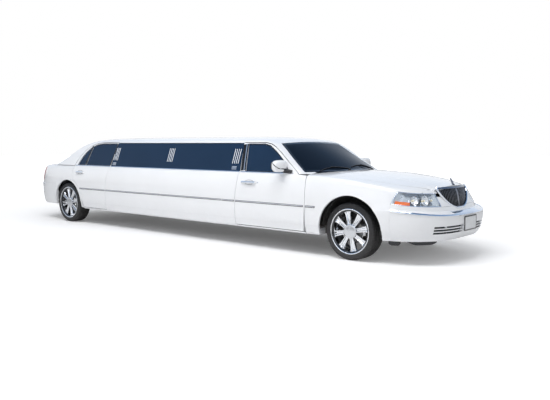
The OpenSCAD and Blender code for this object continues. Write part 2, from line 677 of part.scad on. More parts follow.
// a strip of the front end between two height rows; it runs from a place on the side to a distance
// from the centre line, or right round when that distance is negative
function front_strip(rows, side_x, slant, inner_y, steps, depth) = [for (row = rows)
    let (reach = lookup(row, front_reach_rows) - depth, half = row_half(row) - depth,
         a1 = angle_at_run(side_x + slant * (row - lamp_row_low) - front_corner_x, reach),
         a0 = inner_y < 0 ? -a1 : angle_at_y(inner_y, half))
    [for (i = [0:steps]) let (a = a0 + (a1 - a0) * i / steps,
        p = corner_point(abs(a), reach, half), x = front_corner_x + p[0])
        [x, (a < 0 ? 1 : -1) * p[1], body_z(x, row)]]];
function rear_strip(rows, side_x, inner_y, steps, depth) = [for (row = rows)
    let (reach = lookup(row, rear_reach_rows) - depth, half = row_half(row) - depth,
         a1 = angle_at_run(rear_corner_x - side_x, reach),
         a0 = inner_y < 0 ? -a1 : angle_at_y(inner_y, half))
    [for (i = [0:steps]) let (a = a0 + (a1 - a0) * i / steps,
        p = corner_point(abs(a), reach, half), x = rear_corner_x - p[0])
        [x, (a < 0 ? 1 : -1) * p[1], body_z(x, row)]]];

bumper_thickness = 50;
bumper_rows = [285, 310, 345, 400, 480, 560, 612, 622, 632, 648, 665, 700, bumper_top_row];
rear_bumper_rows = [300, 330, 380, 450, 540, 610, 632, 648, rear_bumper_top];
intake_low_z = 372;
intake_pitch = 33;
intake_height = 22;
intake_inner_y = 172;
intake_outer_y = wide(650);
plate_width = 305;
plate_height = 152;
plate_thickness = 3;
plate_bolt_spacing = 178;
plate_hole_r = 3.5;
plate_hole_reach = 30;
front_plate_x = fx(4266);
front_plate_z = 466;
rear_plate_x = rx(-4266);
rear_plate_z = 540;

module front_bumper() {
    color("#f4f5f7") difference() {
        union() {
            difference() {
                grid_solid(front_strip(bumper_rows, bumper_rear_x + 1, 0, -1, 34, bumper_thickness),
                           front_strip(bumper_rows, bumper_rear_x + 1, 0, -1, 34, 0));
                // three rows of slots, each side of the plate
                for (i = [0:2]) both_sides()
                    block([fx(3950), intake_inner_y, intake_low_z + i * intake_pitch],
                          [fx(4300), intake_outer_y, intake_low_z + i * intake_pitch + intake_height]);
                grille_space();
            }
            // crash beam between the frame's ends and the cover
            block([fx(4080), -rail_y - 35, 425], [fx(4180), rail_y + 35, 475]);
            block([fx(4170), -intake_inner_y + 10, 425], [fx(4225), intake_inner_y - 10, 475]);
            // plate bracket
            block([fx(4225), -plate_width / 2 - 8, front_plate_z - plate_height / 2 - 8],
                  [front_plate_x - plate_thickness, plate_width / 2 + 8,
                   front_plate_z + plate_height / 2 + 8]);
        }
        plate_holes(front_plate_x, front_plate_z);
    }
}

module rear_bumper() {
    color("#f4f5f7") difference() {
        union() {
            difference() {
                grid_solid(rear_strip(rear_bumper_rows, rear_bumper_front_x, -1, 34, 0),
                           rear_strip(rear_bumper_rows, rear_bumper_front_x, -1, 34, bumper_thickness));
                both_sides() arch_cut(rear_arch_x, rear_arch_r, 300);
            }
            block([rx(-4225), -rail_y - 35, 475], [rx(-4080), rail_y + 35, 525]);
            block([rear_plate_x + plate_thickness, -plate_width / 2 - 8,
                   rear_plate_z - plate_height / 2 - 6],
                  [rx(-4200), plate_width / 2 + 8, rear_plate_z + plate_height / 2 + 6]);
        }
        plate_holes(rear_plate_x, rear_plate_z);
    }
}

lamp_depth = 80;
lamp_rows = [lamp_row_low, 790, 850, 910, 940, lamp_row_high];
tail_rows = [tail_row_low, 720, 800, 880, 940, tail_row_high];

module headlamps() {
    color("#c8d0d8", 0.9) both_sides() grid_solid(
        front_strip(lamp_rows, lamp_rear_x, lamp_slant, lamp_inner_y, 14, lamp_depth),
        front_strip(lamp_rows, lamp_rear_x, lamp_slant, lamp_inner_y, 14, 0));
}

module tail_lamps() {
    color("#a01818", 0.9) both_sides() grid_solid(
        rear_strip(tail_rows, tail_lamp_x - 1, lid_face_half + panel_gap, 10, 0),
        rear_strip(tail_rows, tail_lamp_x - 1, lid_face_half + panel_gap, 10, lamp_depth));
}

/* grille: a waterfall shape, wide at its top */
grille_bars = 24;
grille_bar_half = 3.5;
grille_frame = 22;
grille_bow = 0.00048;
grille_top_half = wide(350);
// columns: height, half-width, place on the centre line
grille_rows = [
    [892, 372, 4066], [872, 384, 4080], [840, 378, 4094], [800, 352, 4106], [750, 308, 4117],
    [700, 246, 4126], [665, 176, 4131], [640, 96, 4134]
];
grille_shares = [-1, -0.8, -0.55, -0.28, 0, 0.28, 0.55, 0.8, 1];

function grille_surface(shrink, depth) = [for (i = [0:len(grille_rows) - 1])
    let (r = grille_rows[i], z = r[0] + (i == 0 ? -shrink : i == len(grille_rows) - 1 ? shrink : 0),
         half = wide(r[1]) - shrink)
    [for (s = grille_shares) let (y = s * half) [fx(r[2]) - depth - grille_bow * y * y, y, z]]];
function grille_x(z) = lookup(z, [for (r = reversed(grille_rows)) [r[0], fx(r[2])]]);
// height of the grille's lower edge at a distance from the centre line
function grille_low(y) = lookup(abs(y), [for (i = [len(grille_rows) - 1:-1:1])
    [wide(grille_rows[i][1]), grille_rows[i][0]]]);

module grille_space() {
    grid_solid(grille_surface(-seat_clearance, 160), grille_surface(-seat_clearance, -60));
}

// one upright bar, which follows the grille's slope behind its frame
module grille_bar(y, half) {
    low = max(grille_low(abs(y) + half + 4), 646) + 4;
    zs = [low, low + (880 - low) * 0.25, low + (880 - low) * 0.5, low + (880 - low) * 0.75, 880];
    front = [for (z = zs) [grille_x(z) - 14 - grille_bow * y * y, z]];
    back = [for (z = reversed(zs)) [grille_x(z) - 58 - grille_bow * y * y, z]];
    translate([0, y + half, 0]) rotate([90, 0, 0]) linear_extrude(2 * half) polygon(concat(front, back));
}

module grille() {
    color("#c9ccd2") {
        difference() {
            union() {
                difference() {
                    grid_solid(grille_surface(0, 70), grille_surface(0, 0));
                    grid_solid(grille_surface(grille_frame, 110), grille_surface(grille_frame, -40));
                }
                for (i = [0:grille_bars]) let (y = (i / grille_bars * 2 - 1) * grille_top_half)
                    grille_bar(y, i == grille_bars / 2 ? 14 : grille_bar_half);
            }
            hood_space();
        }
    }
}

module number_plates() {
    color("#e6e7e8") {
        difference() {
            block([front_plate_x - plate_thickness, -plate_width / 2, front_plate_z - plate_height / 2],
                  [front_plate_x, plate_width / 2, front_plate_z + plate_height / 2]);
            plate_holes(front_plate_x, front_plate_z);
        }
        difference() {
            block([rear_plate_x, -plate_width / 2, rear_plate_z - plate_height / 2],
                  [rear_plate_x + plate_thickness, plate_width / 2, rear_plate_z + plate_height / 2]);
            plate_holes(rear_plate_x, rear_plate_z);
        }
    }
}

module plate_holes(x, z) {
    for (s = [-1, 1])
        translate([x - plate_hole_reach, s * plate_bolt_spacing / 2, z + plate_height / 2 - 16])
            rotate([0, 90, 0]) cylinder(r = plate_hole_r, h = 2 * plate_hole_reach, $fn = round_steps);
}

/* inner panels: wheel housings, firewall, cowl and lamp carrier */
liner_thickness = 12;
front_liner_r = front_arch_r + 4;
rear_liner_r = rear_arch_r + 4;
firewall_x = fx(2440);

module wheel_housing(x, r, inner_y, outer_y) {
    difference() {
        translate([x, -inner_y, arch_z]) rotate([90, 0, 0])
            cylinder(r = r + liner_thickness, h = outer_y - inner_y, $fn = 96);
        translate([x, -inner_y - liner_thickness, arch_z]) rotate([90, 0, 0])
            cylinder(r = r, h = outer_y, $fn = 96);
        block([x - 700, -1200, -200], [x + 700, 0, 380]);
    }
}

// thin cowl between the windshield's base and the hood's rear edge
function cowl_row(f, depth) = let (y = f * wide(796),
        x0 = max(pillar_foot_x + 1, windshield_base[0] + 1.2
            + (windshield_base[1] - windshield_base[0]) * pow(y / windshield_base[2], 2)),
        x1 = hood_rear_mid + (hood_rear_side - hood_rear_mid) * pow(y / wide(800), 2)
            - 12 - 6 * pow(y / wide(800), 2))
    [for (t = [0, 0.5, 1]) let (x = x0 + (x1 - x0) * t) [x, y, top_z(x, y) - 3 - depth]];

module inner_panels() {
    color("#1c1d20") {
        both_sides() {
            difference() {
                wheel_housing(front_arch_x, front_liner_r, rail_y + rail_width / 2, wide(870));
                // opening that the upper arm passes
                block([front_axle_x - 90, -600, 300], [front_axle_x + 90, -400, 560]);
            }
            difference() {
                wheel_housing(rear_arch_x, rear_liner_r, rail_y + rail_width / 2, wide(900));
                block([floor_rear_x - 20, -1200, 0], [rx(-2000), 0, 1200]);
                // opening that the axle passes
                block([rear_axle_x - 60, -600, 300], [rear_axle_x + 60, -400, 400]);
                side_prism(rear_door_outline, from = 700, grow = 2 * panel_gap);
            }
            // bracket and pin of the hood's hinge, on the firewall
            block([firewall_x, -hood_hinge_y - 32, 900],
                  [hood_hinge_x + 8, -hood_hinge_y - 18, pillar_foot_z - 1]);
            block([pillar_foot_x + 3, -hood_hinge_y - 32, 990],
                  [hood_hinge_x + 8, -hood_hinge_y - 21, top_z(hood_hinge_x, hood_hinge_y + 28) - 6]);
            translate([hood_hinge_x, -hood_hinge_y + 14, hood_hinge_z]) rotate([90, 0, 0])
                cylinder(r = hinge_pin_r, h = 40, $fn = round_steps);
            // bracket and pin of the lid's hinge, on the parcel shelf
            block([trunk_hinge_x - 8, -trunk_hinge_y - 32, shelf_z - 8],
                  [rx(-3190), -trunk_hinge_y - 18, trunk_hinge_z + 6]);
            translate([trunk_hinge_x, -trunk_hinge_y + 14, trunk_hinge_z]) rotate([90, 0, 0])
                cylinder(r = hinge_pin_r, h = 40, $fn = round_steps);
        }
        difference() {
            grid_solid([for (i = [-8:8]) cowl_row(i / 8, 0)], [for (i = [-8:8]) cowl_row(i / 8, 6)]);
            // slots that the hood's arms swing in
            both_sides()
                block([pillar_foot_x - 20, -hood_hinge_y - 20, 900], [fx(2700), -hood_hinge_y + 20, 1100]);
        }
        // firewall
        block([firewall_x, -wide(800), floor_height], [firewall_x + 12, wide(800), 965]);
        block([floor_front_x, -floor_half, floor_height - 20], [firewall_x + 12, floor_half, floor_height]);
        // lamp carrier behind the grille, on the frame's ends
        block([fx(3860), -wide(560), 500], [fx(3900), wide(560), 655]);
        block([fx(3860), -wide(380), 650], [fx(3900), wide(380), 790]);
        // rear panel under the lid
        block([rx(-4070), -wide(520), trunk_floor_z - floor_thickness],
              [trunk_rear_x, wide(520), 660]);
    }
}

/* power train, axles and springs */
axle_z = tyre_radius;
spindle_r = 20;
axle_tube_r = 40;
shaft_r = 30;
shaft_z = 290;
gearbox_front_x = fx(2740);
spring_r = 40;

// a round bar between two points
module rod(a, b, r) {
    d = b - a;
    length = norm(d);
    translate(a) rotate([0, acos(d[2] / length), atan2(d[1], d[0])])
        cylinder(r = r, h = length, $fn = round_steps);
}

// a round bar with a ball at its first end, where it meets another bar
module jointed_rod(a, b, r) {
    d = b - a;
    rod(a, b, r);
    translate(a) rotate([0, acos(d[2] / norm(d)), atan2(d[1], d[0])])
        sphere(r = 1.15 * r, $fn = round_steps);
}

module engine() {
    color("#55585c") {
        block([gearbox_front_x, -260, 330], [fx(3340), 260, 800]);
        block([firewall_x + 14, -150, 310], [gearbox_front_x, 150, 600]);
    }
}

module driveline() {
    color("#3b3d40") {
        // gearbox end, propeller shaft and its rise to the rear axle
        rod([rx(-2440), 0, shaft_z], [firewall_x + 14, 0, shaft_z], shaft_r);
        jointed_rod([rx(-2440), 0, shaft_z], [rear_axle_x, 0, axle_z], shaft_r);
        translate([rear_axle_x, 0, axle_z]) rotate([90, 0, 0]) sphere(r = 130, $fn = round_steps);
        translate([rear_axle_x, rear_track / 2 - 27, axle_z]) rotate([90, 0, 0])
            cylinder(r = axle_tube_r, h = rear_track - 54, $fn = round_steps);
        translate([rear_axle_x, rear_track / 2 + 54, axle_z]) rotate([90, 0, 0])
            cylinder(r = spindle_r, h = rear_track + 108, $fn = round_steps);
        both_sides() translate([rear_axle_x, -rail_y + 8, axle_z])
            cylinder(r = spring_r, h = 460 - axle_z, $fn = round_steps);
    }
}

kingpin_y = front_track / 2 - 22;
kingpin_r = 12;
lower_arm_z = 205;
upper_arm_z = 480;
arm_thickness = 20;

module front_suspension() {
    color("#303235") {
        block([front_axle_x - 60, -470, lower_arm_z], [front_axle_x + 60, 470, 245]);
        both_sides() {
            // posts up to the frame rails, engine pads, arms and kingpin
            block([front_axle_x - 50, -470, lower_arm_z], [front_axle_x + 50, -430, 400]);
            block([front_axle_x - 40, -230, 240], [front_axle_x + 40, -150, 330]);
            for (z = [lower_arm_z, upper_arm_z])
                translate([front_axle_x, 0, z]) linear_extrude(arm_thickness)
                    polygon([[-60, -rail_y - rail_width / 2], [60, -rail_y - rail_width / 2],
                             [28, -kingpin_y - 24], [-28, -kingpin_y - 24]]);
            block([front_axle_x - 60, -rail_y - rail_width / 2 - 30, lower_arm_z],
                  [front_axle_x + 60, -440, 245]);
            translate([front_axle_x, -kingpin_y, lower_arm_z])
                cylinder(r = kingpin_r, h = upper_arm_z - lower_arm_z + 5, $fn = round_steps);
        }
    }
}

knuckle_r = 28;
knuckle_low_z = 240;
knuckle_high_z = 465;

module right_knuckle() {
    color("#6a6d70") difference() {
        union() {
            translate([front_axle_x, -kingpin_y, knuckle_low_z])
                cylinder(r = knuckle_r, h = knuckle_high_z - knuckle_low_z, $fn = round_steps);
            translate([front_axle_x, -kingpin_y, axle_z]) rotate([90, 0, 0])
                cylinder(r = spindle_r, h = front_track / 2 + 54 - kingpin_y, $fn = round_steps);
            translate([front_axle_x, -kingpin_y - 20, axle_z]) rotate([90, 0, 0])
                cylinder(r = 108, h = 10, $fn = round_steps);
        }
        translate([front_axle_x, -kingpin_y, knuckle_low_z - 5])
            cylinder(r = kingpin_r + running_clearance, h = 300, $fn = round_steps);
    }
}

rim_seat_r = rim_radius - 8;
rim_flange = tyre_width / 2 - 9;
spoke_count = 8;
hub_inner = 20;
hub_r = 76;

module tyre_at(x, y) {
    w = tyre_width / 2;
    color("#17181a") translate([x, y, axle_z]) rotate([90, 0, 0]) rotate_extrude($fn = 128)
        polygon([[rim_seat_r, -w + 12], [tyre_radius - 42, -w], [tyre_radius - 14, -w + 8],
                 [tyre_radius, -w + 34], [tyre_radius, w - 34], [tyre_radius - 14, w - 8],
                 [tyre_radius - 42, w], [rim_seat_r, w - 12]]);
}

// one wheel; its outer face points along outward, which is 1 for the left and -1 for the right
module rim_at(x, y, outward) {
    f = rim_flange;
    color("#d4d7db") translate([x, y, axle_z]) rotate([outward > 0 ? -90 : 90, 0, 0]) {
        rotate_extrude($fn = 128)
            polygon([[rim_seat_r - 14, -f - 6], [rim_radius, -f - 6], [rim_radius, -f],
                     [rim_seat_r, -f], [rim_seat_r, f], [rim_radius, f], [rim_radius, f + 6],
                     [rim_seat_r - 8, f + 6], [rim_seat_r - 20, f - 14], [rim_seat_r - 20, 36],
                     [rim_seat_r - 14, 26]]);
        difference() {
            translate([0, 0, hub_inner]) cylinder(r = hub_r, h = 68, $fn = round_steps);
            translate([0, 0, hub_inner - 40])
                cylinder(r = spindle_r + running_clearance, h = 80, $fn = round_steps);
        }
        translate([0, 0, 86]) cylinder(r1 = hub_r - 4, r2 = hub_r - 12, h = 10, $fn = round_steps);
        for (i = [0:spoke_count - 1]) rotate([0, 0, i * 360 / spoke_count]) {
            translate([0, 0, 46]) linear_extrude(22)
                polygon([[hub_r - 14, -20], [rim_seat_r - 12, -27], [rim_seat_r - 12, 27],
                         [hub_r - 14, 20]]);
            for (s = [-1, 1])
                translate([0, 0, 56]) linear_extrude(28)
                    polygon([[hub_r - 14, s * 6], [rim_seat_r - 12, s * 9], [rim_seat_r - 12, s * 24],
                             [hub_r - 14, s * 17]]);
        }
    }
}

exhaust_y = -250;
exhaust_r = 26;
exhaust_z = cross_top_z + exhaust_r + 5;
muffler_z = 440;

module exhaust() {
    color("#77797c") {
        rod([fx(2900), exhaust_y, exhaust_z], [rx(-2480), exhaust_y, exhaust_z], exhaust_r);
        jointed_rod([rx(-2480), exhaust_y, exhaust_z], [rx(-2700), exhaust_y, muffler_z], exhaust_r);
        jointed_rod([rx(-2700), exhaust_y, muffler_z], [rx(-3450), exhaust_y, muffler_z], exhaust_r);
        translate([rx(-3400), exhaust_y, muffler_z]) rotate([0, -90, 0])
            cylinder(r = 80, h = 420, $fn = round_steps);
        rod([rx(-3780), exhaust_y, muffler_z], [rx(-4110), exhaust_y - 100, 262], exhaust_r);
        // hangers that rest on the crossmembers, and one up to the trunk floor
        for (r = cross_rows) if (r[2] == cross_top_z && r[0] > rx(-2470))
            block([r[0] - 12, exhaust_y - 12, cross_top_z], [r[0] + 12, exhaust_y + 12, exhaust_z]);
        block([rx(-3620), exhaust_y - 15, muffler_z],
              [rx(-3590), exhaust_y + 15, trunk_floor_z - floor_thickness]);
    }
}

module fuel_tank() {
    color("#2e2f31")
        block([rx(-3960), -120, 350], [rx(-3345), rail_y - 45, trunk_floor_z - floor_thickness]);
}

/* cabin */
dash_half = wide(820);
dash_front_x = firewall_x;
steering_x = fx(1880);
steering_y = 380;
steering_z = 800;
steering_tilt = 25;

module dashboard() {
    color("#3b3a3c") {
        translate([0, dash_half, 0]) rotate([90, 0, 0]) linear_extrude(2 * dash_half)
            polygon([[dash_front_x, 640], [fx(2130), 640], [fx(2060), 700], [fx(2055), 860],
                     [fx(2090), 930], [fx(2220), 968], [dash_front_x, 985]]);
        rod([steering_x, steering_y, steering_z], [fx(2100), steering_y, 700], 22);
        translate([steering_x, steering_y, steering_z]) rotate([0, -90 + steering_tilt, 0]) {
            rotate_extrude($fn = round_steps) translate([180, 0]) circle(r = 13, $fn = 24);
            for (a = [0, 120, 240]) rotate([0, 0, a + 60])
                translate([0, -14, -6]) cube([176, 28, 12]);
            translate([0, 0, -14]) cylinder(r = 52, h = 28, $fn = round_steps);
        }
    }
}

// a seat in side view: cushion, then a back that leans; facing 1 looks forward, -1 looks back
module seat_profile(x, depth, seat_z, back_z, facing, width) {
    translate([x, width / 2, 0]) scale([facing, 1, 1]) rotate([90, 0, 0]) linear_extrude(width)
        polygon([[0, floor_height], [depth - 40, floor_height], [depth - 20, seat_z - 90],
                 [depth, seat_z - 60], [depth, seat_z - 20], [depth - 30, seat_z],
                 [120, seat_z - 20], [70, seat_z + 120], [10, back_z - 30], [-20, back_z],
                 [-90, back_z], [-120, back_z - 30], [-40, seat_z - 40]]);
}

module front_seats() {
    color("#4a4648") for (s = [-1, 1]) translate([0, s * 380, 0]) {
        seat_profile(fx(1180), 560, 560, 1040, 1, 560);
        translate([fx(1085), -130, 1052]) cube([95, 260, 150]);
        for (p = [-1, 1])
            translate([fx(1125), p * 60, 1020]) cylinder(r = 7, h = 60, $fn = round_steps);
    }
}

bench_half = wide(700);
side_bench_y = wide(840);

module passenger_seats() {
    color("#3f3c40") {
        seat_profile(rx(-2255), 560, 560, 960, 1, 2 * bench_half);
        // bench along the left wall
        translate([place(-1380), side_bench_y, 0]) rotate([90, 0, 90])
            linear_extrude(place(260) - place(-1380))
            polygon([[-5, floor_height], [-500, floor_height], [-520, 500], [-500, 548],
                     [-170, 540], [-120, 860], [-90, 890], [-20, 890], [-5, 860]]);
    }
}

partition_x = front_axle_x - partition_setback;
partition_thickness = 36;
bar_depth = 330;

module partition() {
    color("#2c2a2c") {
        zs = concat([floor_height, 380], [for (r = full_side) if (r[0] > 380 && r[0] < door_top) r[0]],
                    [door_top]);
        translate([partition_x, 0, 0]) rotate([90, 0, 90]) linear_extrude(partition_thickness)
            difference() {
                polygon(concat(
                    [for (z = zs) [-side_y(z) + wall_thickness + seat_clearance, z]],
                    [[-wide(600), tall(1440)], [wide(600), tall(1440)]],
                    [for (z = reversed(zs)) [side_y(z) - wall_thickness - seat_clearance, z]]));
                polygon([[-wide(560), 900], [wide(560), 900], [wide(500), tall(1340)],
                         [-wide(500), tall(1340)]]);
            }
        // drinks cabinet along the right wall
        block([place(-1200), -wide(845), floor_height], [place(420), -wide(845) + bar_depth, 860]);
    }
}

/* doors */
window_frame_depth = 45;
frame_lip = 10;
leaf_margin = 25;
leaf_low_z = 352;
glass_depth = 9;
handle_height = 26;

module door_body(outline, window, x0, x1, gap_x) {
    difference() {
        union() {
            intersection() {
                union() {
                    side_slab(x0, x1, door_bottom_z, 1016, 0, door_skin);
                    side_slab(x0, x1, 1000, door_top, 0, frame_lip);
                }
                side_prism(outline);
            }
            intersection() {
                side_slab(x0, x1, 1000, door_top, frame_lip - 1, window_frame_depth);
                side_prism(outline, grow = -8);
            }
            difference() {
                intersection() {
                    side_slab(x0, x1, leaf_low_z, 996, door_skin - 5, door_thickness);
                    side_prism(outline, grow = -leaf_margin);
                }
                translate([gap_x, -hinge_y, 200])
                    cylinder(r = hinge_radius, h = 900, $fn = round_steps);
            }
        }
        side_prism(window);
    }
}

module handle(x0, x1, z) {
    side_slab(x0, x1, z - handle_height / 2, z + handle_height / 2, -26, -14);
    for (x = [x0, x1 - 34])
        side_slab(x, x + 34, z - handle_height / 2, z + handle_height / 2, -15, 3);
}

mirror_x = fx(2128);
mirror_z = tall(1108);
// columns: distance out from the window, share of the full section
mirror_rings = [[16, 0.52], [24, 0.78], [48, 0.94], [100, 1], [160, 0.98], [202, 0.86], [226, 0.64], [238, 0.36]];
mirror_half_depth = 62;
mirror_half_height = 78;
ring_points = 18;

// a closed solid through rings of points, with a fan over each end
module loft(rings) {
    n = len(rings);
    m = len(rings[0]);
    points = concat([for (r = rings) for (p = r) p],
                    [sum_points(rings[0]) / m, sum_points(rings[n - 1]) / m]);
    faces = concat(
        [for (i = [0:n - 2]) for (j = [0:m - 1]) for (t = [0, 1]) let (k = (j + 1) % m) t == 0
            ? [i * m + j, (i + 1) * m + j, (i + 1) * m + k]
            : [i * m + j, (i + 1) * m + k, i * m + k]],
        [for (j = [0:m - 1]) [n * m, j, (j + 1) % m]],
        [for (j = [0:m - 1]) [n * m + 1, (n - 1) * m + (j + 1) % m, (n - 1) * m + j]]
    );
    polyhedron(points = points, faces = faces, convexity = 4);
}
function sum_points(list, i = 0) = i == len(list) - 1 ? list[i] : list[i] + sum_points(list, i + 1);

module mirror_head() {
    y0 = -side_y(mirror_z);
    loft([for (r = mirror_rings) [for (i = [0:ring_points - 1]) let (a = 360 * i / ring_points,
        c = cos(a), q = sin(a))
        [mirror_x + mirror_half_depth * r[1] * sign(c) * pow(abs(c), 0.75),
         y0 - r[0],
         mirror_z + 6 + mirror_half_height * (0.2 + 0.8 * r[1]) * sign(q) * pow(abs(q), 0.75)]]]);
    // foot on the door
    rod([mirror_x + 30, y0 - 60, mirror_z - 46], [mirror_x + 128, y0 + 6, mirror_z - 68], 18);
}

module right_front_door() {
    color("#f4f5f7") {
        door_body(front_door_outline, front_window_outline, fx(1290), fx(2530), front_door_gap_x);
        handle(fx(1433), fx(1690), 884);
        difference() {
            mirror_head();
            side_slab(fx(1900), fx(2500), tall(1009), tall(1300), 20, 300);
            intersection() {
                side_slab(fx(1900), fx(2500), tall(1009), tall(1300), 7, 300);
                side_prism(front_window_outline, grow = 1);
            }
        }
    }
}

module right_rear_door() {
    color("#f4f5f7") {
        door_body(rear_door_outline, rear_window_outline, rx(-2730), rx(-1580), rear_door_gap_x);
        intersection() {
            side_slab(rx(-2420), rx(-2250), window_bottom - 4, window_top + 2, 0, window_frame_depth);
            side_prism(quarter_bar_outline);
            side_prism(rear_door_outline);
        }
        handle(rx(-2570), rx(-2358), 904);
    }
}

module right_front_glass() {
    color("#20324a", 0.8) intersection() {
        side_slab(fx(1350), fx(2300), window_bottom, window_top, glass_depth,
                  glass_depth + glass_thickness);
        side_prism(front_window_outline);
    }
}

module right_rear_glass() {
    color("#20324a", 0.8) difference() {
        intersection() {
            side_slab(rx(-2620), rx(-1590), window_bottom, window_top, glass_depth,
                      glass_depth + glass_thickness);
            side_prism(rear_window_outline);
        }
        side_prism(quarter_bar_outline);
    }
}

chassis_frame();
front_frame_rails();
rear_frame_rails();
floor_pan();
side_panels();
side_windows();
roof();
windshield();
rear_window();
fenders();
quarter_panels();
hood();
trunk_lid();
front_bumper();
rear_bumper();
headlamps();
tail_lamps();
grille();
number_plates();
inner_panels();
engine();
driveline();
front_suspension();
exhaust();
fuel_tank();
dashboard();
front_seats();
passenger_seats();
partition();
right_front_door();
mirror([0, 1, 0]) right_front_door();  // left_front_door
right_rear_door();
mirror([0, 1, 0]) right_rear_door();  // left_rear_door
right_front_glass();
mirror([0, 1, 0]) right_front_glass();  // left_front_glass
right_rear_glass();
mirror([0, 1, 0]) right_rear_glass();  // left_rear_glass
right_knuckle();
mirror([0, 1, 0]) right_knuckle();  // left_knuckle
tyre_at(front_axle_x, -front_track / 2);  // right_front_tyre
rim_at(front_axle_x, -front_track / 2, -1);  // right_front_rim
tyre_at(front_axle_x, front_track / 2);  // left_front_tyre
rim_at(front_axle_x, front_track / 2, 1);  // left_front_rim
tyre_at(rear_axle_x, -rear_track / 2);  // right_rear_tyre
rim_at(rear_axle_x, -rear_track / 2, -1);  // right_rear_rim
tyre_at(rear_axle_x, rear_track / 2);  // left_rear_tyre
rim_at(rear_axle_x, rear_track / 2, 1);  // left_rear_rim
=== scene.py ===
import math

import bpy
import numpy as np
from mathutils import Matrix, Vector
from mathutils.bvhtree import BVHTree


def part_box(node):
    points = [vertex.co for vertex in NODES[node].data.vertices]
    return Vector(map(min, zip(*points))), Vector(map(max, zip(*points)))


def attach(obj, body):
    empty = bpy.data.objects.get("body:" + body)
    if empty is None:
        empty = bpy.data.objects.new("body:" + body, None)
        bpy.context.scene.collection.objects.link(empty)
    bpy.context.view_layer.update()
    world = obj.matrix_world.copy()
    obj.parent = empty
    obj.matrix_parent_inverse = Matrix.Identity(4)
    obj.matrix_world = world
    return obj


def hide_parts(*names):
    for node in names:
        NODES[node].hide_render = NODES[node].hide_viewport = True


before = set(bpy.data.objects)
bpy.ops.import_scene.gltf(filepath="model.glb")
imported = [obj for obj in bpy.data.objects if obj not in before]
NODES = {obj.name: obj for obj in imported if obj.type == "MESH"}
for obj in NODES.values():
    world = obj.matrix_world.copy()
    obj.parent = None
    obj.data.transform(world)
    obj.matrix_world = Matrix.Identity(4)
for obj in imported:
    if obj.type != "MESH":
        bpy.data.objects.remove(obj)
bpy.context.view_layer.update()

SIDES = (("right", -1), ("left", 1))


# ---------------------------------------------------------------- materials
def material(name, color, rough=0.4, metal=0.0, coat=0.0, coat_rough=0.03, transmission=0.0,
             ior=1.5, sheen=0.0, spec=0.5, vary=0.06, vary_scale=6.0, rough_vary=0.08, bump=0.0,
             bump_scale=200.0, stretch=(1, 1, 1), emission=None, strength=0.0, dust_and_low_shade=0.0):
    m = bpy.data.materials.new(name)
    m.use_nodes = True
    nt = m.node_tree
    b = nt.nodes["Principled BSDF"]
    b.inputs["Metallic"].default_value = metal
    b.inputs["Coat Weight"].default_value = coat
    b.inputs["Coat Roughness"].default_value = coat_rough
    b.inputs["Transmission Weight"].default_value = transmission
    b.inputs["IOR"].default_value = ior
    b.inputs["Sheen Weight"].default_value = sheen
    b.inputs["Specular IOR Level"].default_value = spec
    if emission:
        b.inputs["Emission Color"].default_value = (*emission, 1)
        b.inputs["Emission Strength"].default_value = strength
    tc = nt.nodes.new("ShaderNodeTexCoord")
    mp = nt.nodes.new("ShaderNodeMapping")
    mp.inputs["Scale"].default_value = stretch
    nt.links.new(tc.outputs["Object"], mp.inputs["Vector"])

    def noise(scale, detail=4.0):
        n = nt.nodes.new("ShaderNodeTexNoise")
        n.inputs["Scale"].default_value = scale
        n.inputs["Detail"].default_value = detail
        nt.links.new(mp.outputs["Vector"], n.inputs["Vector"])
        return n

    tone = noise(vary_scale)
    ramp = nt.nodes.new("ShaderNodeValToRGB")
    lo = [max(0.0, c * (1 - vary)) for c in color]
    hi = [min(1.0, c * (1 + vary)) for c in color]
    ramp.color_ramp.elements[0].position = 0.3
    ramp.color_ramp.elements[1].position = 0.7
    ramp.color_ramp.elements[0].color = (*lo, 1)
    ramp.color_ramp.elements[1].color = (*hi, 1)
    nt.links.new(tone.outputs["Fac"], ramp.inputs["Fac"])
    out_color = ramp.outputs["Color"]
    if dust_and_low_shade:
        # a grey-brown tone mixed in from the side crease's height down towards the ground, in blotches: road dust
        # on the dark tyres and underbody, painted shade on the white paint
        sep = nt.nodes.new("ShaderNodeSeparateXYZ")
        nt.links.new(tc.outputs["Object"], sep.inputs["Vector"])
        mr = nt.nodes.new("ShaderNodeMapRange")
        mr.inputs["From Min"].default_value = 0.62
        mr.inputs["From Max"].default_value = 0.2
        mr.inputs["To Max"].default_value = dust_and_low_shade
        nt.links.new(sep.outputs["Z"], mr.inputs["Value"])
        spots = noise(26.0, 8.0)
        mul = nt.nodes.new("ShaderNodeMath")
        mul.operation = "MULTIPLY"
        nt.links.new(mr.outputs["Result"], mul.inputs[0])
        nt.links.new(spots.outputs["Fac"], mul.inputs[1])
        mix = nt.nodes.new("ShaderNodeMix")
        mix.data_type = "RGBA"
        mix.inputs["B"].default_value = (0.33, 0.30, 0.27, 1)
        nt.links.new(mul.outputs["Value"], mix.inputs["Factor"])
        nt.links.new(out_color, mix.inputs["A"])
        out_color = mix.outputs["Result"]
    nt.links.new(out_color, b.inputs["Base Color"])
    fine = noise(vary_scale * 7, 6.0)
    rr = nt.nodes.new("ShaderNodeMapRange")
    rr.inputs["To Min"].default_value = max(0.0, rough * (1 - rough_vary))
    rr.inputs["To Max"].default_value = min(1.0, rough * (1 + rough_vary) + 0.01)
    nt.links.new(fine.outputs["Fac"], rr.inputs["Value"])
    nt.links.new(rr.outputs["Result"], b.inputs["Roughness"])
    if bump:
        grain = noise(bump_scale, 3.0)
        bp = nt.nodes.new("ShaderNodeBump")
        bp.inputs["Strength"].default_value = bump
        bp.inputs["Distance"].default_value = 0.002
        nt.links.new(grain.outputs["Fac"], bp.inputs["Height"])
        nt.links.new(bp.outputs["Normal"], b.inputs["Normal"])
    return m


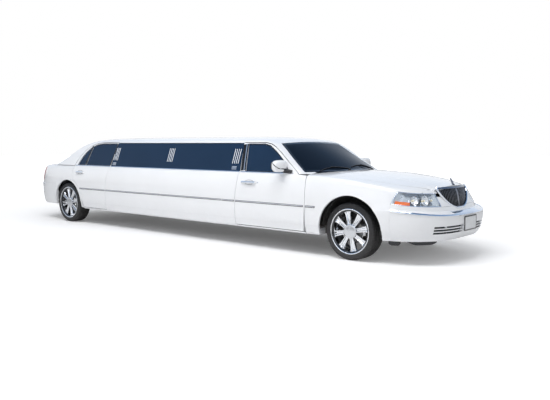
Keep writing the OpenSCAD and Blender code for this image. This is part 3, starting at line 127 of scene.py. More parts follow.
def woven(m, scale=420.0, strength=0.35):
    """Adds a fine weave or ribbing to a material's bump."""
    nt = m.node_tree
    b = nt.nodes["Principled BSDF"]
    tc = nt.nodes.new("ShaderNodeTexCoord")
    waves = []
    for direction in ("X", "Z"):
        w = nt.nodes.new("ShaderNodeTexWave")
        w.bands_direction = direction
        w.inputs["Scale"].default_value = scale
        w.inputs["Distortion"].default_value = 0.6
        nt.links.new(tc.outputs["Object"], w.inputs["Vector"])
        waves.append(w)
    add = nt.nodes.new("ShaderNodeMath")
    add.operation = "ADD"
    nt.links.new(waves[0].outputs["Fac"], add.inputs[0])
    nt.links.new(waves[1].outputs["Fac"], add.inputs[1])
    bp = nt.nodes.new("ShaderNodeBump")
    bp.inputs["Strength"].default_value = strength
    bp.inputs["Distance"].default_value = 0.001
    nt.links.new(add.outputs["Value"], bp.inputs["Height"])
    nt.links.new(bp.outputs["Normal"], b.inputs["Normal"])
    return m


# the white paint's last argument darkens it below the side crease towards the ground: painted shade, not road dust
PAINT = material("paint_white", (0.845, 0.855, 0.875), 0.30, coat=0.9, vary=0.012, vary_scale=2.0,
                 bump=0.012, bump_scale=700, dust_and_low_shade=0.16)
CHROME = material("chrome_bright", (0.80, 0.81, 0.83), 0.07, metal=1.0, vary=0.03, rough_vary=0.4)
CHROME_SATIN = material("chrome_satin", (0.62, 0.63, 0.65), 0.2, metal=1.0, vary=0.05, rough_vary=0.3)
CHROME_DARK = material("chrome_smoked", (0.20, 0.21, 0.24), 0.12, metal=1.0, vary=0.05, rough_vary=0.3)
BLACK_GLOSS = material("black_gloss", (0.012, 0.013, 0.016), 0.14, coat=0.5, vary=0.2)
PILLAR_BLACK = material("pillar_black", (0.008, 0.009, 0.012), 0.3, spec=0.25, vary=0.2)
RUBBER = material("black_rubber", (0.018, 0.018, 0.02), 0.6, vary=0.2, bump=0.15, bump_scale=500)
PLASTIC = material("black_plastic_grain", (0.028, 0.028, 0.031), 0.55, vary=0.2, bump=0.35,
                   bump_scale=900)
UNDERBODY = material("underbody_black", (0.03, 0.03, 0.031), 0.62, vary=0.35, bump=0.3,
                     bump_scale=120, dust_and_low_shade=0.5)
TYRE = material("tyre_rubber", (0.013, 0.013, 0.014), 0.68, vary=0.25, vary_scale=14, bump=0.25,
                bump_scale=380, dust_and_low_shade=0.12)
SIDE_GLASS = material("glass_side_tint", (0.016, 0.040, 0.088), 0.035, transmission=0.25, spec=0.2,
                      ior=1.3, vary=0.05, vary_scale=1.2)
FRONT_GLASS = material("glass_windshield", (0.006, 0.012, 0.024), 0.03, transmission=0.3, spec=0.04, ior=1.3,
                       vary=0.04, vary_scale=1.0)
CLEAR_LENS = material("lens_clear", (0.93, 0.95, 0.97), 0.03, transmission=1.0, ior=1.2, vary=0.01)
RED_LENS = material("lens_red", (0.55, 0.012, 0.012), 0.08, transmission=0.45, coat=0.5, ior=1.4,
                    vary=0.1, vary_scale=20, emission=(0.5, 0.01, 0.01), strength=0.06)
AMBER = material("lens_amber", (0.85, 0.17, 0.03), 0.15, coat=0.5, vary=0.12, vary_scale=40,
                 emission=(0.9, 0.15, 0.03), strength=0.12)
REFLECTOR = material("lamp_reflector", (0.82, 0.83, 0.85), 0.12, metal=1.0, vary=0.05)
LAMP_GREY = material("lamp_bezel_grey", (0.55, 0.60, 0.66), 0.22, metal=0.75, vary=0.08)
LAMP_WHITE = material("lens_reversing", (0.75, 0.76, 0.78), 0.2, coat=0.4, vary=0.05)
PLATE = material("plate_enamel", (0.74, 0.755, 0.77), 0.33, coat=0.3, vary=0.03, vary_scale=30,
                 bump=0.03, bump_scale=300)
LEATHER = material("leather_black", (0.045, 0.041, 0.043), 0.42, vary=0.22, vary_scale=18, bump=0.55,
                   bump_scale=520)
LEATHER_GREY = material("leather_grey", (0.17, 0.165, 0.165), 0.45, vary=0.15, vary_scale=18,
                        bump=0.55, bump_scale=520)
CARPET = woven(material("carpet_dark", (0.035, 0.034, 0.038), 0.95, sheen=0.4, vary=0.35,
                        vary_scale=90), 520, 0.6)
HEADLINER = woven(material("headliner_cloth", (0.30, 0.295, 0.29), 0.9, sheen=0.3, vary=0.08,
                           vary_scale=60), 600, 0.3)
WOOD = material("walnut_gloss", (0.14, 0.062, 0.03), 0.22, coat=0.8, vary=0.5, vary_scale=5,
                stretch=(1.2, 10, 10), rough_vary=0.1)
CAST = material("cast_metal", (0.23, 0.235, 0.245), 0.6, metal=0.7, vary=0.3, vary_scale=22, bump=0.5,
                bump_scale=160)
STEEL = material("pipe_steel", (0.33, 0.32, 0.31), 0.42, metal=0.9, vary=0.3, vary_scale=12,
                 bump=0.15, bump_scale=80)
LIGHT_BAR = material("lamp_strip_white", (0.86, 0.88, 0.92), 0.25, coat=0.4, vary=0.04,
                     emission=(0.9, 0.95, 1.0), strength=0.25)
MIRROR = material("mirror_glass", (0.78, 0.8, 0.82), 0.02, metal=1.0, vary=0.02)
BRASS = material("bulb_warm", (0.95, 0.86, 0.62), 0.2, vary=0.04, emission=(1, 0.9, 0.7), strength=0.15)

for slot_name, node_names in {
    PAINT: ["side_panels", "roof", "fenders", "quarter_panels", "hood", "trunk_lid", "front_bumper",
            "rear_bumper", "right_front_door", "left_front_door", "right_rear_door", "left_rear_door"],
    SIDE_GLASS: ["side_windows", "right_front_glass", "left_front_glass", "right_rear_glass",
                 "left_rear_glass", "rear_window"],
    FRONT_GLASS: ["windshield"],
    CHROME_DARK: ["grille"],
    PLATE: ["number_plates"],
    UNDERBODY: ["chassis_frame", "front_frame_rails", "rear_frame_rails", "floor_pan", "inner_panels", "front_suspension", "driveline", "fuel_tank"],
    CAST: ["engine", "right_knuckle", "left_knuckle"],
    STEEL: ["exhaust"],
    PLASTIC: ["dashboard"],
    WOOD: ["partition"],
    LEATHER: ["front_seats", "passenger_seats"],
    RED_LENS: ["tail_lamps"], CLEAR_LENS: ["headlamps"],
    TYRE: ["right_front_tyre", "left_front_tyre", "right_rear_tyre", "left_rear_tyre"],
    CHROME_SATIN: ["right_front_rim", "left_front_rim", "right_rear_rim", "left_rear_rim"],
}.items():
    for n in node_names:
        if n not in NODES:
            continue
        me = NODES[n].data
        me.materials.clear()
        me.materials.append(slot_name)


def smooth_group(angle):
    g = bpy.data.node_groups.new("smooth_by_angle_%d" % angle, "GeometryNodeTree")
    g.interface.new_socket("Geometry", in_out="INPUT", socket_type="NodeSocketGeometry")
    g.interface.new_socket("Geometry", in_out="OUTPUT", socket_type="NodeSocketGeometry")
    gi, go = g.nodes.new("NodeGroupInput"), g.nodes.new("NodeGroupOutput")
    merge = g.nodes.new("GeometryNodeMergeByDistance")
    merge.inputs["Distance"].default_value = 0.00002
    faces = g.nodes.new("GeometryNodeSetShadeSmooth")
    faces.domain = "FACE"
    edges = g.nodes.new("GeometryNodeSetShadeSmooth")
    edges.domain = "EDGE"
    ang = g.nodes.new("GeometryNodeInputMeshEdgeAngle")
    cmp = g.nodes.new("FunctionNodeCompare")
    cmp.data_type = "FLOAT"
    cmp.operation = "LESS_THAN"
    cmp.inputs["B"].default_value = math.radians(angle)
    g.links.new(gi.outputs[0], merge.inputs["Geometry"])
    g.links.new(merge.outputs["Geometry"], faces.inputs["Geometry"])
    g.links.new(faces.outputs["Geometry"], edges.inputs["Geometry"])
    g.links.new(ang.outputs["Unsigned Angle"], cmp.inputs["A"])
    g.links.new(cmp.outputs["Result"], edges.inputs["Shade Smooth"])
    g.links.new(edges.outputs["Geometry"], go.inputs[0])
    return g


SMOOTH = smooth_group(24)
for n, o in NODES.items():
    if "custom_normal" in o.data.attributes:
        o.data.attributes.remove(o.data.attributes["custom_normal"])
    mod = o.modifiers.new("smooth", "NODES")
    mod.node_group = SMOOTH


# ---------------------------------------------------------------- mesh helpers
def add(name, verts, faces, mat, body, angle=38, slot=None):
    me = bpy.data.meshes.new(name)
    me.from_pydata([tuple(v) for v in verts], [], [tuple(f) for f in faces])
    me.validate()
    me.materials.append(mat)
    me.polygons.foreach_set("use_smooth", [True] * len(me.polygons))
    me.set_sharp_from_angle(angle=math.radians(angle))
    o = bpy.data.objects.new(name, me)
    bpy.context.scene.collection.objects.link(o)
    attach(o, body)
    return o


class Mesh:
    """Collects several closed forms into one piece."""

    def __init__(self):
        self.v, self.f = [], []

    def grid(self, rows, close_u=False, close_v=False, caps=False):
        n, m, base = len(rows), len(rows[0]), len(self.v)
        for r in rows:
            self.v.extend([tuple(p) for p in r])
        for i in range(n if close_u else n - 1):
            for j in range(m if close_v else m - 1):
                a, b = base + i * m + j, base + ((i + 1) % n) * m + j
                c, d = base + ((i + 1) % n) * m + (j + 1) % m, base + i * m + (j + 1) % m
                self.f.append((a, b, c, d))
        if caps:
            self.f.append([base + j for j in range(m)])
            self.f.append([base + (n - 1) * m + j for j in reversed(range(m))])
        return self

    def slab(self, rows, other):
        """The closed solid between two grids with the same rows and columns."""
        n, m, base = len(rows), len(rows[0]), len(self.v)
        self.grid(rows)
        self.grid([list(reversed(r)) for r in other])
        k = base + n * m
        idx = lambda i, j: (base + i * m + j, k + i * m + (m - 1 - j))
        ring = [(0, j) for j in range(m)] + [(i, m - 1) for i in range(1, n)]
        ring += [(n - 1, j) for j in range(m - 2, -1, -1)] + [(i, 0) for i in range(n - 2, 0, -1)]
        for a, b in zip(ring, ring[1:] + ring[:1]):
            pa, qa = idx(*a)
            pb, qb = idx(*b)
            self.f.append((pa, pb, qb, qa))
        return self

    def box(self, lo, hi, bevel=0.004, rot=None, about=None):
        """A box with chamfered edges."""
        lo, hi = Vector(lo), Vector(hi)
        c, h = (lo + hi) / 2, (hi - lo) / 2
        e = min(bevel, h.x * 0.9, h.y * 0.9, h.z * 0.9)
        base = len(self.v)
        pts, index = [], {}
        for sx in (-1, 1):
            for sy in (-1, 1):
                for sz in (-1, 1):
                    for k in range(3):
                        p = [sx * h.x, sy * h.y, sz * h.z]
                        for q in range(3):
                            if q != k:
                                p[q] -= (sx, sy, sz)[q] * e
                        index[(sx, sy, sz, k)] = len(pts)
                        pts.append(Vector(p))
        fs = []
        for k in range(3):
            a, b = [q for q in range(3) if q != k]
            for s in (-1, 1):
                quad = []
                for u, w in ((-1, -1), (1, -1), (1, 1), (-1, 1)):
                    sg = [0, 0, 0]
                    sg[k], sg[a], sg[b] = s, u, w
                    quad.append(index[(*sg, k)])
                fs.append(quad if s * (1, -1, 1)[k] > 0 else quad[::-1])
        for sx in (-1, 1):
            for sy in (-1, 1):
                for sz in (-1, 1):
                    t = [index[(sx, sy, sz, k)] for k in range(3)]
                    fs.append(t if sx * sy * sz > 0 else t[::-1])
        for a, b in ((0, 1), (0, 2), (1, 2)):
            c3 = 3 - a - b
            for sa in (-1, 1):
                for sb in (-1, 1):
                    sg1, sg2 = [0, 0, 0], [0, 0, 0]
                    sg1[a], sg1[b], sg1[c3] = sa, sb, -1
                    sg2[a], sg2[b], sg2[c3] = sa, sb, 1
                    q = [index[(*sg1, a)], index[(*sg1, b)], index[(*sg2, b)], index[(*sg2, a)]]
                    fs.append(q)
        for p in pts:
            p = p + c
            if rot is not None:
                p = rot @ (p - Vector(about)) + Vector(about)
            self.v.append(tuple(p))
        self.f.extend([[base + i for i in q] for q in fs])
        return self

    def revolve(self, profile, centre, axis, segs=48, start=None):
        """profile holds (distance along the axis, radius); closed where it meets the axis."""
        axis = Vector(axis).normalized()
        u = axis.orthogonal().normalized()
        w = axis.cross(u)
        rows = []
        for a, r in profile:
            rows.append([Vector(centre) + axis * a + (u * math.cos(t) + w * math.sin(t)) * max(r, 1e-5)
                         for t in [2 * math.pi * k / segs for k in range(segs)]])
        self.grid(rows, close_v=True)
        return self

    def tube(self, pts, r, segs=12, caps=True):
        pts = [Vector(p) for p in pts]
        rows, prev = [], None
        for i, p in enumerate(pts):
            t = (pts[min(i + 1, len(pts) - 1)] - pts[max(i - 1, 0)]).normalized()
            u = t.orthogonal().normalized() if prev is None else (prev - t * prev.dot(t)).normalized()
            prev = u
            w = t.cross(u)
            rad = r[i] if isinstance(r, (list, tuple)) else r
            rows.append([p + (u * math.cos(a) + w * math.sin(a)) * rad
                         for a in [2 * math.pi * k / segs for k in range(segs)]])
        self.grid(rows, close_v=True, caps=caps)
        return self

    def ribbon(self, hits, width, height, sink=0.001, closed=False):
        """A low strip with rounded edges along points of a surface; hits holds (point, normal)."""
        rows = []
        n = len(hits)
        for i, (p, nrm) in enumerate(hits):
            a = hits[(i + 1) % n][0] if closed else hits[min(i + 1, n - 1)][0]
            b = hits[i - 1][0] if closed else hits[max(i - 1, 0)][0]
            t = (a - b).normalized()
            s = nrm.cross(t).normalized()
            up = t.cross(s).normalized()
            if up.dot(nrm) < 0:
                up = -up
            h, w = height, width / 2
            rows.append([p - s * w - up * sink, p - s * w + up * h * 0.45, p - s * w * 0.72 + up * h * 0.9,
                         p - s * w * 0.3 + up * h, p + s * w * 0.3 + up * h,
                         p + s * w * 0.72 + up * h * 0.9, p + s * w + up * h * 0.45,
                         p + s * w - up * sink])
        self.grid(rows, close_u=closed, close_v=True, caps=not closed)
        return self

    def done(self, name, mat, body, angle=38, slot=None):
        o = add(name, self.v, self.f, mat, body, angle, slot)
        fix_normals(o)
        return o


def fix_normals(o):
    import bmesh
    bm = bmesh.new()
    bm.from_mesh(o.data)
    bmesh.ops.recalc_face_normals(bm, faces=bm.faces)
    bm.to_mesh(o.data)
    bm.free()


def tree(*names):
    verts, faces = [], []
    for n in names:
        me = NODES[n].data
        base = len(verts)
        verts.extend([v.co.copy() for v in me.vertices])
        faces.extend([[base + i for i in p.vertices] for p in me.polygons])
    return BVHTree.FromPolygons(verts, faces)


TREES = {}


def cast(names, origin, direction):
    key = tuple(names)
    if key not in TREES:
        TREES[key] = tree(*names)
    p, nrm, _, _ = TREES[key].ray_cast(Vector(origin), Vector(direction).normalized())
    if p is None:
        return None
    if nrm.dot(Vector(direction)) > 0:
        nrm = -nrm
    return p, nrm


def lerp_path(points, step):
    out = []
    for (a, b) in zip(points[:-1], points[1:]):
        k = max(1, int(math.dist(a, b) / step))
        out += [tuple(a[q] + (b[q] - a[q]) * i / k for q in range(len(a))) for i in range(k)]
    return out + [tuple(points[-1])]


def side_hits(names, path, s, step=0.05, inset=0.0):
    """Points on the side skin for a path in the side view; s is -1 for the right side."""
    hits = []
    for x, z in lerp_path(path, step):
        h = cast(names, (x, s * 2.0, z), (0, -s, 0))
        if h:
            hits.append((h[0] - h[1] * inset, h[1]))
    return hits


def smooth_normals(hits, passes=3):
    ns = [h[1] for h in hits]
    for _ in range(passes):
        ns = [(ns[max(i - 1, 0)] + ns[i] * 2 + ns[min(i + 1, len(ns) - 1)]).normalized()
              for i in range(len(ns))]
    return [(h[0], n) for h, n in zip(hits, ns)]


# ---------------------------------------------------------------- camera, light and floor
AZ, PITCH = math.radians(40.55), math.radians(5.02)
back = Vector((math.sin(AZ) * math.cos(PITCH), -math.cos(AZ) * math.cos(PITCH), math.sin(PITCH)))
cam_data = bpy.data.cameras.new("camera")
cam_data.lens = 42.13
cam_data.sensor_width = 36.0
cam = bpy.data.objects.new("camera", cam_data)
cam.location = (7.447, -7.306, 1.403)
cam.rotation_euler = (-back).to_track_quat("-Z", "Y").to_euler()
bpy.context.scene.collection.objects.link(cam)
bpy.context.scene.camera = cam
bpy.context.scene.view_settings.view_transform = "Standard"

world = bpy.data.worlds.new("studio")
bpy.context.scene.world = world
world.use_nodes = True
wt = world.node_tree
bg = wt.nodes["Background"]
bg.inputs["Color"].default_value = (0.96, 0.98, 1.0, 1)
bg.inputs["Strength"].default_value = 0.43
bright = wt.nodes.new("ShaderNodeBackground")
bright.inputs["Color"].default_value = (1, 1, 1, 1)
bright.inputs["Strength"].default_value = 1.0
# mirrors see a pale horizon under a blue sky
sky = wt.nodes.new("ShaderNodeBackground")
wtc = wt.nodes.new("ShaderNodeTexCoord")
wsep = wt.nodes.new("ShaderNodeSeparateXYZ")
wramp = wt.nodes.new("ShaderNodeValToRGB")
wramp.color_ramp.elements[0].position = 0.0
wramp.color_ramp.elements[0].color = (0.62, 0.62, 0.63, 1)
wramp.color_ramp.elements[1].position = 1.0
wramp.color_ramp.elements[1].color = (0.10, 0.18, 0.32, 1)
for at_, col in ((0.46, (0.55, 0.56, 0.58, 1)), (0.505, (0.16, 0.17, 0.19, 1)), (0.53, (0.95, 0.97, 1, 1)),
                 (0.62, (0.80, 0.88, 1, 1)), (0.78, (0.30, 0.45, 0.70, 1))):
    e = wramp.color_ramp.elements.new(at_)
    e.color = col
wmr = wt.nodes.new("ShaderNodeMapRange")
wmr.inputs["From Min"].default_value = -1.0
wmr.inputs["From Max"].default_value = 1.0
wt.links.new(wtc.outputs["Generated"], wsep.inputs["Vector"])
wt.links.new(wsep.outputs["Z"], wmr.inputs["Value"])
wt.links.new(wmr.outputs["Result"], wramp.inputs["Fac"])
wt.links.new(wramp.outputs["Color"], sky.inputs["Color"])
sky.inputs["Strength"].default_value = 1.0
lp = wt.nodes.new("ShaderNodeLightPath")
m1 = wt.nodes.new("ShaderNodeMath")
m1.operation = "MAXIMUM"
mixw = wt.nodes.new("ShaderNodeMixShader")
mixg = wt.nodes.new("ShaderNodeMixShader")
wt.links.new(lp.outputs["Is Camera Ray"], m1.inputs[0])
wt.links.new(lp.outputs["Is Transmission Ray"], m1.inputs[1])
wt.links.new(lp.outputs["Is Glossy Ray"], mixg.inputs["Fac"])
wt.links.new(bg.outputs[0], mixg.inputs[1])
wt.links.new(sky.outputs[0], mixg.inputs[2])
wt.links.new(m1.outputs[0], mixw.inputs["Fac"])
wt.links.new(mixg.outputs[0], mixw.inputs[1])
wt.links.new(bright.outputs[0], mixw.inputs[2])
wt.links.new(mixw.outputs[0], wt.nodes["World Output"].inputs["Surface"])


def area(name, loc, size, power, target=(0, 0, 0.6), mirrored=True):
    ld = bpy.data.lights.new(name, "AREA")
    ld.shape = "RECTANGLE"
    ld.size, ld.size_y = size
    ld.energy = power
    lo = bpy.data.objects.new(name, ld)
    lo.location = loc
    lo.rotation_euler = (Vector(target) - Vector(loc)).to_track_quat("-Z", "Y").to_euler()
    lo.visible_glossy = mirrored
    bpy.context.scene.collection.objects.link(lo)


area("key", (2.0, -4.5, 8.0), (9, 3), 600)
area("fill_right", (3.0, -11.0, 4.2), (10, 4), 95)
area("fill_front", (12.0, 1.0, 3.6), (6, 4), 40, mirrored=False)
area("fill_left", (-2.0, 10.0, 5.0), (10, 5), 110, mirrored=False)

floor_me = bpy.data.meshes.new("floor")
R = 60.0
floor_me.from_pydata([(-R, -R, 0), (R, -R, 0), (R, R, 0), (-R, R, 0)], [], [(0, 1, 2, 3)])
floor = bpy.data.objects.new("floor", floor_me)
bpy.context.scene.collection.objects.link(floor)
fm = bpy.data.materials.new("floor_pale_painted_shadow")
fm.use_nodes = True
ft = fm.node_tree
fb = ft.nodes["Principled BSDF"]
fb.inputs["Base Color"].default_value = (0.90, 0.90, 0.91, 1)
fb.inputs["Roughness"].default_value = 0.9
# camera rays also see an emission that grows with distance from the car, from 0.10 close by to 0.95 far off: the
# floor darkens towards the car as a painted shadow, on top of the real shadow in its diffuse part
em = ft.nodes.new("ShaderNodeEmission")
ftc = ft.nodes.new("ShaderNodeTexCoord")
flen = ft.nodes.new("ShaderNodeVectorMath")
flen.operation = "LENGTH"
fmap = ft.nodes.new("ShaderNodeMapping")
fmap.inputs["Scale"].default_value = (0.62, 1.0, 1.0)
painted_shadow_ramp = ft.nodes.new("ShaderNodeMapRange")
painted_shadow_ramp.inputs["From Min"].default_value = 1.6
painted_shadow_ramp.inputs["From Max"].default_value = 8.0
painted_shadow_ramp.inputs["To Min"].default_value = 0.10
painted_shadow_ramp.inputs["To Max"].default_value = 0.95
ft.links.new(ftc.outputs["Object"], fmap.inputs["Vector"])
ft.links.new(fmap.outputs["Vector"], flen.inputs[0])
ft.links.new(flen.outputs["Value"], painted_shadow_ramp.inputs["Value"])
ft.links.new(painted_shadow_ramp.outputs["Result"], em.inputs["Strength"])
ad = ft.nodes.new("ShaderNodeAddShader")
ms = ft.nodes.new("ShaderNodeMixShader")
fl = ft.nodes.new("ShaderNodeLightPath")
ft.links.new(fb.outputs[0], ad.inputs[0])
ft.links.new(em.outputs[0], ad.inputs[1])
ft.links.new(fl.outputs["Is Camera Ray"], ms.inputs["Fac"])
ft.links.new(fb.outputs[0], ms.inputs[1])
ft.links.new(ad.outputs[0], ms.inputs[2])
ft.links.new(ms.outputs[0], ft.nodes["Material Output"].inputs["Surface"])
floor_me.materials.append(fm)

# ---------------------------------------------------------------- wheels
TYRE_R, TYRE_W, RIM_R = 0.350, 0.1175, 0.276


def wheel(end, side, s):
    body = "%s_%s_wheel" % (side, end)
    lo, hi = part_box("%s_%s_tyre" % (side, end))
    c = (Vector(lo) + Vector(hi)) / 2
    ax = Vector((0, s, 0))

    def at(a, r, t):
        return c + ax * a + Vector((math.cos(t), 0, math.sin(t))) * r

    # tyre: casing with five ribs, and sipes cut across the shoulders
    w, R, rr = TYRE_W, TYRE_R, RIM_R
    half = [(w - 0.018, rr - 0.007, 0), (w - 0.010, rr - 0.002, 0), (w - 0.007, rr + 0.006, 0),
            (w - 0.008, rr + 0.011, 0), (w - 0.002, rr + 0.019, 0), (w, rr + 0.029, 0),
            (w - 0.0015, rr + 0.038, 0), (w - 0.003, rr + 0.0385, 0), (w - 0.004, rr + 0.046, 0),
            (w - 0.0025, R - 0.024, 0), (w - 0.007, R - 0.014, 1), (w - 0.016, R - 0.0055, 1),
            (w - 0.030, R - 0.0015, 1), (w - 0.050, R - 0.0004, 0.7)]
    tread = [(0.064, R, 0.6), (0.0625, R - 0.007, 0), (0.0555, R - 0.007, 0), (0.054, R, 0.6),
             (0.026, R, 0.5), (0.0245, R - 0.007, 0), (0.0175, R - 0.007, 0), (0.016, R, 0.5)]
    inner = [(-a, r, k) for a, r, k in reversed(half)]
    inner_tread = [(-a, r, k) for a, r, k in reversed(tread)]
    prof = half + tread + inner_tread + inner + [(-(w - 0.03), rr - 0.012, 0), (w - 0.03, rr - 0.012, 0)]
    rows = []
    pitch = 2 * math.pi / 64
    for k in range(64):
        for f, cut in ((0.0, 0), (0.30, 0), (0.60, 0), (0.88, 0), (0.90, 1), (0.98, 1)):
            t = (k + f) * pitch
            rows.append([at(a, r - 0.0055 * q * cut, t + 0.02 * (abs(a) / w)) for a, r, q in prof])
    m = Mesh()
    m.grid(rows, close_u=True, close_v=True)
    tyre = m.done("%s_tyre_treaded" % body, TYRE, body, 30, "tyre")
    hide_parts("%s_%s_tyre" % (side, end))

    # rim: lip, barrel, hub and eight double-ridged spokes
    f = 0.1085
    m = Mesh()
    barrel = [(-f - 0.005, rr - 0.020), (-f - 0.005, rr - 0.001), (-f, rr), (-f + 0.004, rr - 0.007),
              (f - 0.004, rr - 0.007), (f, rr), (f + 0.004, rr), (f + 0.006, rr - 0.004),
              (f + 0.005, rr - 0.010), (f + 0.001, rr - 0.016), (f - 0.006, rr - 0.0205),
              (f - 0.010, rr - 0.024), (f - 0.014, rr - 0.031), (f - 0.022, rr - 0.033),
              (0.032, rr - 0.034), (0.02, rr - 0.028), (-f + 0.02, rr - 0.022)]
    rows = [[at(a, r, 2 * math.pi * k / 96) for a, r in barrel] for k in range(96)]
    m.grid(rows, close_u=True, close_v=True)
    outer_r = rr - 0.030
    for i in range(8):
        base = 2 * math.pi * i / 8 + math.pi / 16
        er, et = Vector((math.cos(base), 0, math.sin(base))), Vector((-math.sin(base), 0, math.cos(base)))
        rows = []
        for q in range(11):
            u = q / 10
            r = 0.052 + (outer_r + 0.004 - 0.052) * u
            hw = 0.025 + 0.016 * u ** 1.3 + 0.012 * max(0, u - 0.85) / 0.15
            top = 0.096 - 0.005 * u - 0.006 * math.sin(math.pi * u)
            deep = 0.010 if 0.06 < u < 0.95 else 0.003
            sec = [(-1.0, -0.030), (-1.0, -0.006), (-0.92, -0.001), (-0.72, 0.0), (-0.52, -0.001),
                   (-0.30, -deep), (0.0, -deep * 1.15), (0.30, -deep), (0.52, -0.001), (0.72, 0.0),
                   (0.92, -0.001), (1.0, -0.006), (1.0, -0.030), (0.6, -0.036), (-0.6, -0.036)]
            rows.append([c + er * r + et * (hw * x) + ax * (top + z) for x, z in sec])
        m.grid(rows, close_v=True, caps=True)
    hub = [(0.026, 0.044), (0.030, 0.074), (0.074, 0.080), (0.088, 0.078), (0.094, 0.070),
           (0.095, 0.058), (0.089, 0.055), (0.089, 0.0001)]
    rows = [[at(a, r, 2 * math.pi * k / 64) for a, r in hub] for k in range(64)]
    m.grid(rows, close_u=True)
    rim = m.done("%s_rim_chrome" % body, CHROME, body, 28, "chrome")
    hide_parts("%s_%s_rim" % (side, end))
    # centre cap with a domed middle
    m = Mesh()
    cap = [(0.086, 0.088), (0.0965, 0.0875), (0.099, 0.083), (0.1005, 0.074), (0.0995, 0.068),
           (0.1005, 0.063), (0.1030, 0.042), (0.1045, 0.018), (0.1048, 0.00001)]
    m.grid([[at(a, r, 2 * math.pi * k / 64) for a, r in cap] for k in range(64)], close_u=True)
    m.done("%s_centre_cap" % body, CHROME_SATIN, body, 25, "chrome")
    # dark ring inside the lip, valve, and balance weights
    m = Mesh()
    ring = [(f - 0.0222, rr - 0.0345), (f - 0.0090, rr - 0.0335), (f - 0.0035, rr - 0.0240),
            (f + 0.0045, rr - 0.0105), (f + 0.001, rr - 0.0120), (f - 0.016, rr - 0.0300),
            (f - 0.0215, rr - 0.0318)]
    m.grid([[at(a, r, 2 * math.pi * k / 96) for a, r in ring] for k in range(96)], close_u=True,
           close_v=True)
    t = math.radians(190)
    m.tube([at(f - 0.03, rr - 0.034, t), at(f - 0.008, rr - 0.045, t), at(f, rr - 0.048, t)], 0.0045, 10)
    for t0 in (0.4, 2.9):
        for k in range(4):
            t = t0 + k * 0.05
            m.box(at(0.0, rr - 0.038, t) - Vector((0.007, 0.01, 0.004)),
                  at(0.0, rr - 0.038, t) + Vector((0.007, 0.01, 0.004)), 0.002)
    m.done("%s_rim_dark_parts" % body, BLACK_GLOSS, body, 30, "black_plastic")
    # brake disc with a groove round its rim, and its bell
    m = Mesh()
    disc = [(-0.006, 0.060), (-0.006, 0.095), (-0.0125, 0.099), (-0.0125, 0.172), (-0.017, 0.172),
            (-0.017, 0.166), (-0.026, 0.166), (-0.026, 0.172), (-0.031, 0.172), (-0.031, 0.099),
            (-0.0285, 0.094), (-0.012, 0.060)]
    if end == "front":
        disc = [(a + 0.050, r * 0.80) for a, r in disc]
    m.grid([[at(a, r, 2 * math.pi * k / 72) for a, r in disc] for k in range(72)], close_u=True,
           close_v=True)
    m.done("%s_brake_disc" % body, STEEL, body, 30, "cast_metal")
    # wheel nuts, hidden in part by the cap
    m = Mesh()
    for k in range(5):
        t = 2 * math.pi * k / 5 + 0.3
        m.revolve([(0.0, 0.00001), (0.0, 0.0095), (0.009, 0.0095), (0.0105, 0.007), (0.011, 0.00001)],
                  at(0.086, 0.066, t), ax, 6)
    m.done("%s_wheel_nuts" % body, CHROME_SATIN, body, 25, "chrome")


for end in ("front", "rear"):
    for side, s in SIDES:
        wheel(end, side, s)

# ---------------------------------------------------------------- corner surfaces of the body
SIDE_ROWS = [[285, 46], [300, 32], [385, 15], [400, 10], [520, 3], [620, 0], [760, 4], [880, 17],
             [950, 32], [990, 50], [1008, 62]]
FRONT_REACH = [[285, 1180], [330, 1215], [400, 1240], [500, 1256], [560, 1260], [618, 1256], [632, 1240],
               [648, 1190], [665, 1145], [700, 1135], [735, 1125], [966, 1030], [1008, 1000], [1018, 985]]
REAR_REACH = [[285, 1200], [330, 1230], [400, 1248], [560, 1260], [618, 1258], [632, 1250], [650, 1238],
              [700, 1225], [860, 1190], [985, 1150], [1008, 1125], [1018, 1100]]
SHOULDER = [[-4110, 985], [-3800, 1002], [-3400, 1014], [-2400, 1018], [2400, 1018], [2800, 1003],
            [3100, 982], [3400, 946], [3700, 897], [3900, 868], [4000, 860], [4080, 858]]
CREASE = [[-4260, 650], [-3200, 640], [-2600, 620], [3300, 620], [3700, 634], [4000, 606], [4260, 575]]
POWER = 3.1


def lookup(x, rows):
    return float(np.interp(x, [r[0] for r in rows], [r[1] for r in rows]))


def row_half(row):
    return 985 - (lookup(row, SIDE_ROWS) if row <= 1008 else 62 + (row - 1008) * 4.8)


def skin_z(x, row):
    c, s = lookup(x, CREASE), lookup(x, SHOULDER)
    if row <= 620:
        return row + (c - 620) * max(0, (row - 285) / 335)
    return c + (row - 620) * (s - c) / 398


def corner(front, row, y, depth=0.0, side_x=None):
    """A point on the front or rear corner's skin: by its distance from the centre line, or by its place
    along the car."""
    table = FRONT_REACH if front else REAR_REACH
    reach, half = lookup(row, table) - depth, row_half(row) - depth
    if side_x is not None:
        run = (side_x - 3000) if front else (-3000 - side_x)
        a = math.acos(min(1.0, max(0.0, run / reach)) ** (POWER / 2))
    else:
        a = math.asin(min(1.0, abs(y) / half) ** (POWER / 2))
    return corner_at(front, row, a, math.copysign(1, y), depth)


def corner_at(front, row, a, sy, depth=0.0):
    table = FRONT_REACH if front else REAR_REACH
    reach, half = lookup(row, table) - depth, row_half(row) - depth
    run = reach * max(0.0, math.cos(a)) ** (2 / POWER)
    y = half * max(0.0, math.sin(a)) ** (2 / POWER) * sy
    x = 3000 + run if front else -3000 - run
    return Vector((x, y, skin_z(x, row))) / 1000


def corner_span(front, row, y0, side_x, depth):
    """The angles of a corner strip's inner and outer ends at a row."""
    table = FRONT_REACH if front else REAR_REACH
    reach, half = lookup(row, table) - depth, row_half(row) - depth
    run = (side_x - 3000) if front else (-3000 - side_x)
    a1 = math.acos(min(1.0, max(0.0, run / reach)) ** (POWER / 2))
    a0 = math.asin(min(1.0, y0 / half) ** (POWER / 2))
    return a0, a1


